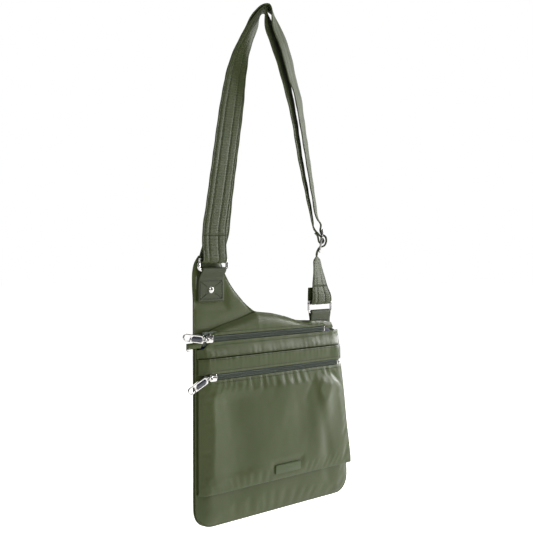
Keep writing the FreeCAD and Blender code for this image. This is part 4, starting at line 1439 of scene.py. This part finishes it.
def build_tabs():
    width = tab_high[0] - tab_low[0]
    bunch = Bunch()
    bunch.add(*tab_mesh(width, LEFT_RING_LOW_BAR, 2.15, -0.2, 3.0, tab_low[2], TAB_T, 3.0))
    left, right, low = tab_low[0] + 1.6, tab_high[0] - 1.6, tab_low[2] + 3.0
    top = low + 20.0
    y = 3.0 - 2 * 1.6 - 0.12
    corners = np.array([(left, low), (right, low), (right, top), (left, top)])
    lines = list(zip(corners, np.roll(corners, -1, 0)))
    # a cross from the corners, which stops short of the rivet
    middle = corners.mean(0)
    for corner in corners[[0, 2, 3, 1]]:
        lines.append((corner, middle + (corner - middle) * 0.36))
    for a, b in lines:
        bunch.add(*stitch_run(line3([a, b], y), pitch=2.7, length=2.1, radius=0.34), 1)
    tab = bunch.make("left_tab_leather", [tab_leather, thread])
    settle(tab, "tab", "left_tab")

    width = right_tab_high[0] - right_tab_low[0]
    bunch = Bunch()
    bunch.add(*tab_mesh(width, RIGHT_RING_LOW_BAR, 1.9, -2.6, 0.6, right_tab_low[2], TAB_T))
    z = right_tab_low[2] + 6.0
    across = line3([(right_tab_low[0] + 2, z), (right_tab_high[0] - 2, z)], -2.7)
    bunch.add(*stitch_run(across, pitch=2.7, length=2.0, radius=0.26), 1)
    tab = bunch.make("right_tab_leather", [tab_leather, thread])
    settle(tab, "tab", "right_tab")


# ---- metal ---------------------------------------------------------------------------------------
def finish_cad(node, material, bevel=0.0):
    """Give a CAD node its finish, and soften its edges."""
    obj = frame["nodes"][node]
    obj.data.materials.clear()
    obj.data.materials.append(material)
    if bevel:
        weld = obj.modifiers.new("weld", "WELD")
        weld.merge_threshold = 0.01 * MM
        soft = obj.modifiers.new("soft", "BEVEL")
        soft.width = bevel * MM
        soft.segments = 3
        soft.limit_method = "ANGLE"
        soft.angle_limit = math.radians(30.0)
        soft.harden_normals = True
        obj.data.polygons.foreach_set("use_smooth", np.ones(len(obj.data.polygons), bool))


def build_metal():
    for name in ("main_zip", "pocket_zip"):
        for part, bevel in (("slider", 0.35), ("link", 0.0), ("pull", 0.3), ("gate", 0.2), ("stops", 0.3)):
            finish_cad(name + "_" + part, nickel, bevel)
        finish_cad(name + "_inlay", enamel, 0.15)
    for node in ("left_ring", "right_ring", "zip_end_ring"):
        finish_cad(node, nickel)
    for node, bevel in (("strap_slider", 0.55), ("rivet_cap", 0.25), ("rivet_back", 0.2)):
        finish_cad(node, nickel, bevel)
    finish_cad("badge", badge_stuff, 0.3)


# the bag's right edge, from the bottom up
right_side = [(x, z) for x, z in outline("back_panel") if x > RIGHT_SIDE_FROM]
right_edge = np.array(sorted(right_side, key=lambda p: p[1]))

build_camera()
build_stage()
build_pocket()
build_front()
build_yoke()
build_facing()
build_wing()
build_back()
build_linings()
build_sides()
build_pipings()
for zip_name in ("main_zip", "pocket_zip"):
    build_tapes(zip_name)
    build_coils(zip_name)
build_zip_end()
build_strap()
build_tabs()
build_metal()
seams = stitching.make("bag_stitching", [thread])
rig.ride(seams, "bag")
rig.slot(seams, "nylon")

low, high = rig.bounds()
with open("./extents.json", "w") as f:
    json.dump({"cad": [list(cad_low), list(cad_high)], "visual": [list(low), list(high)]}, f)
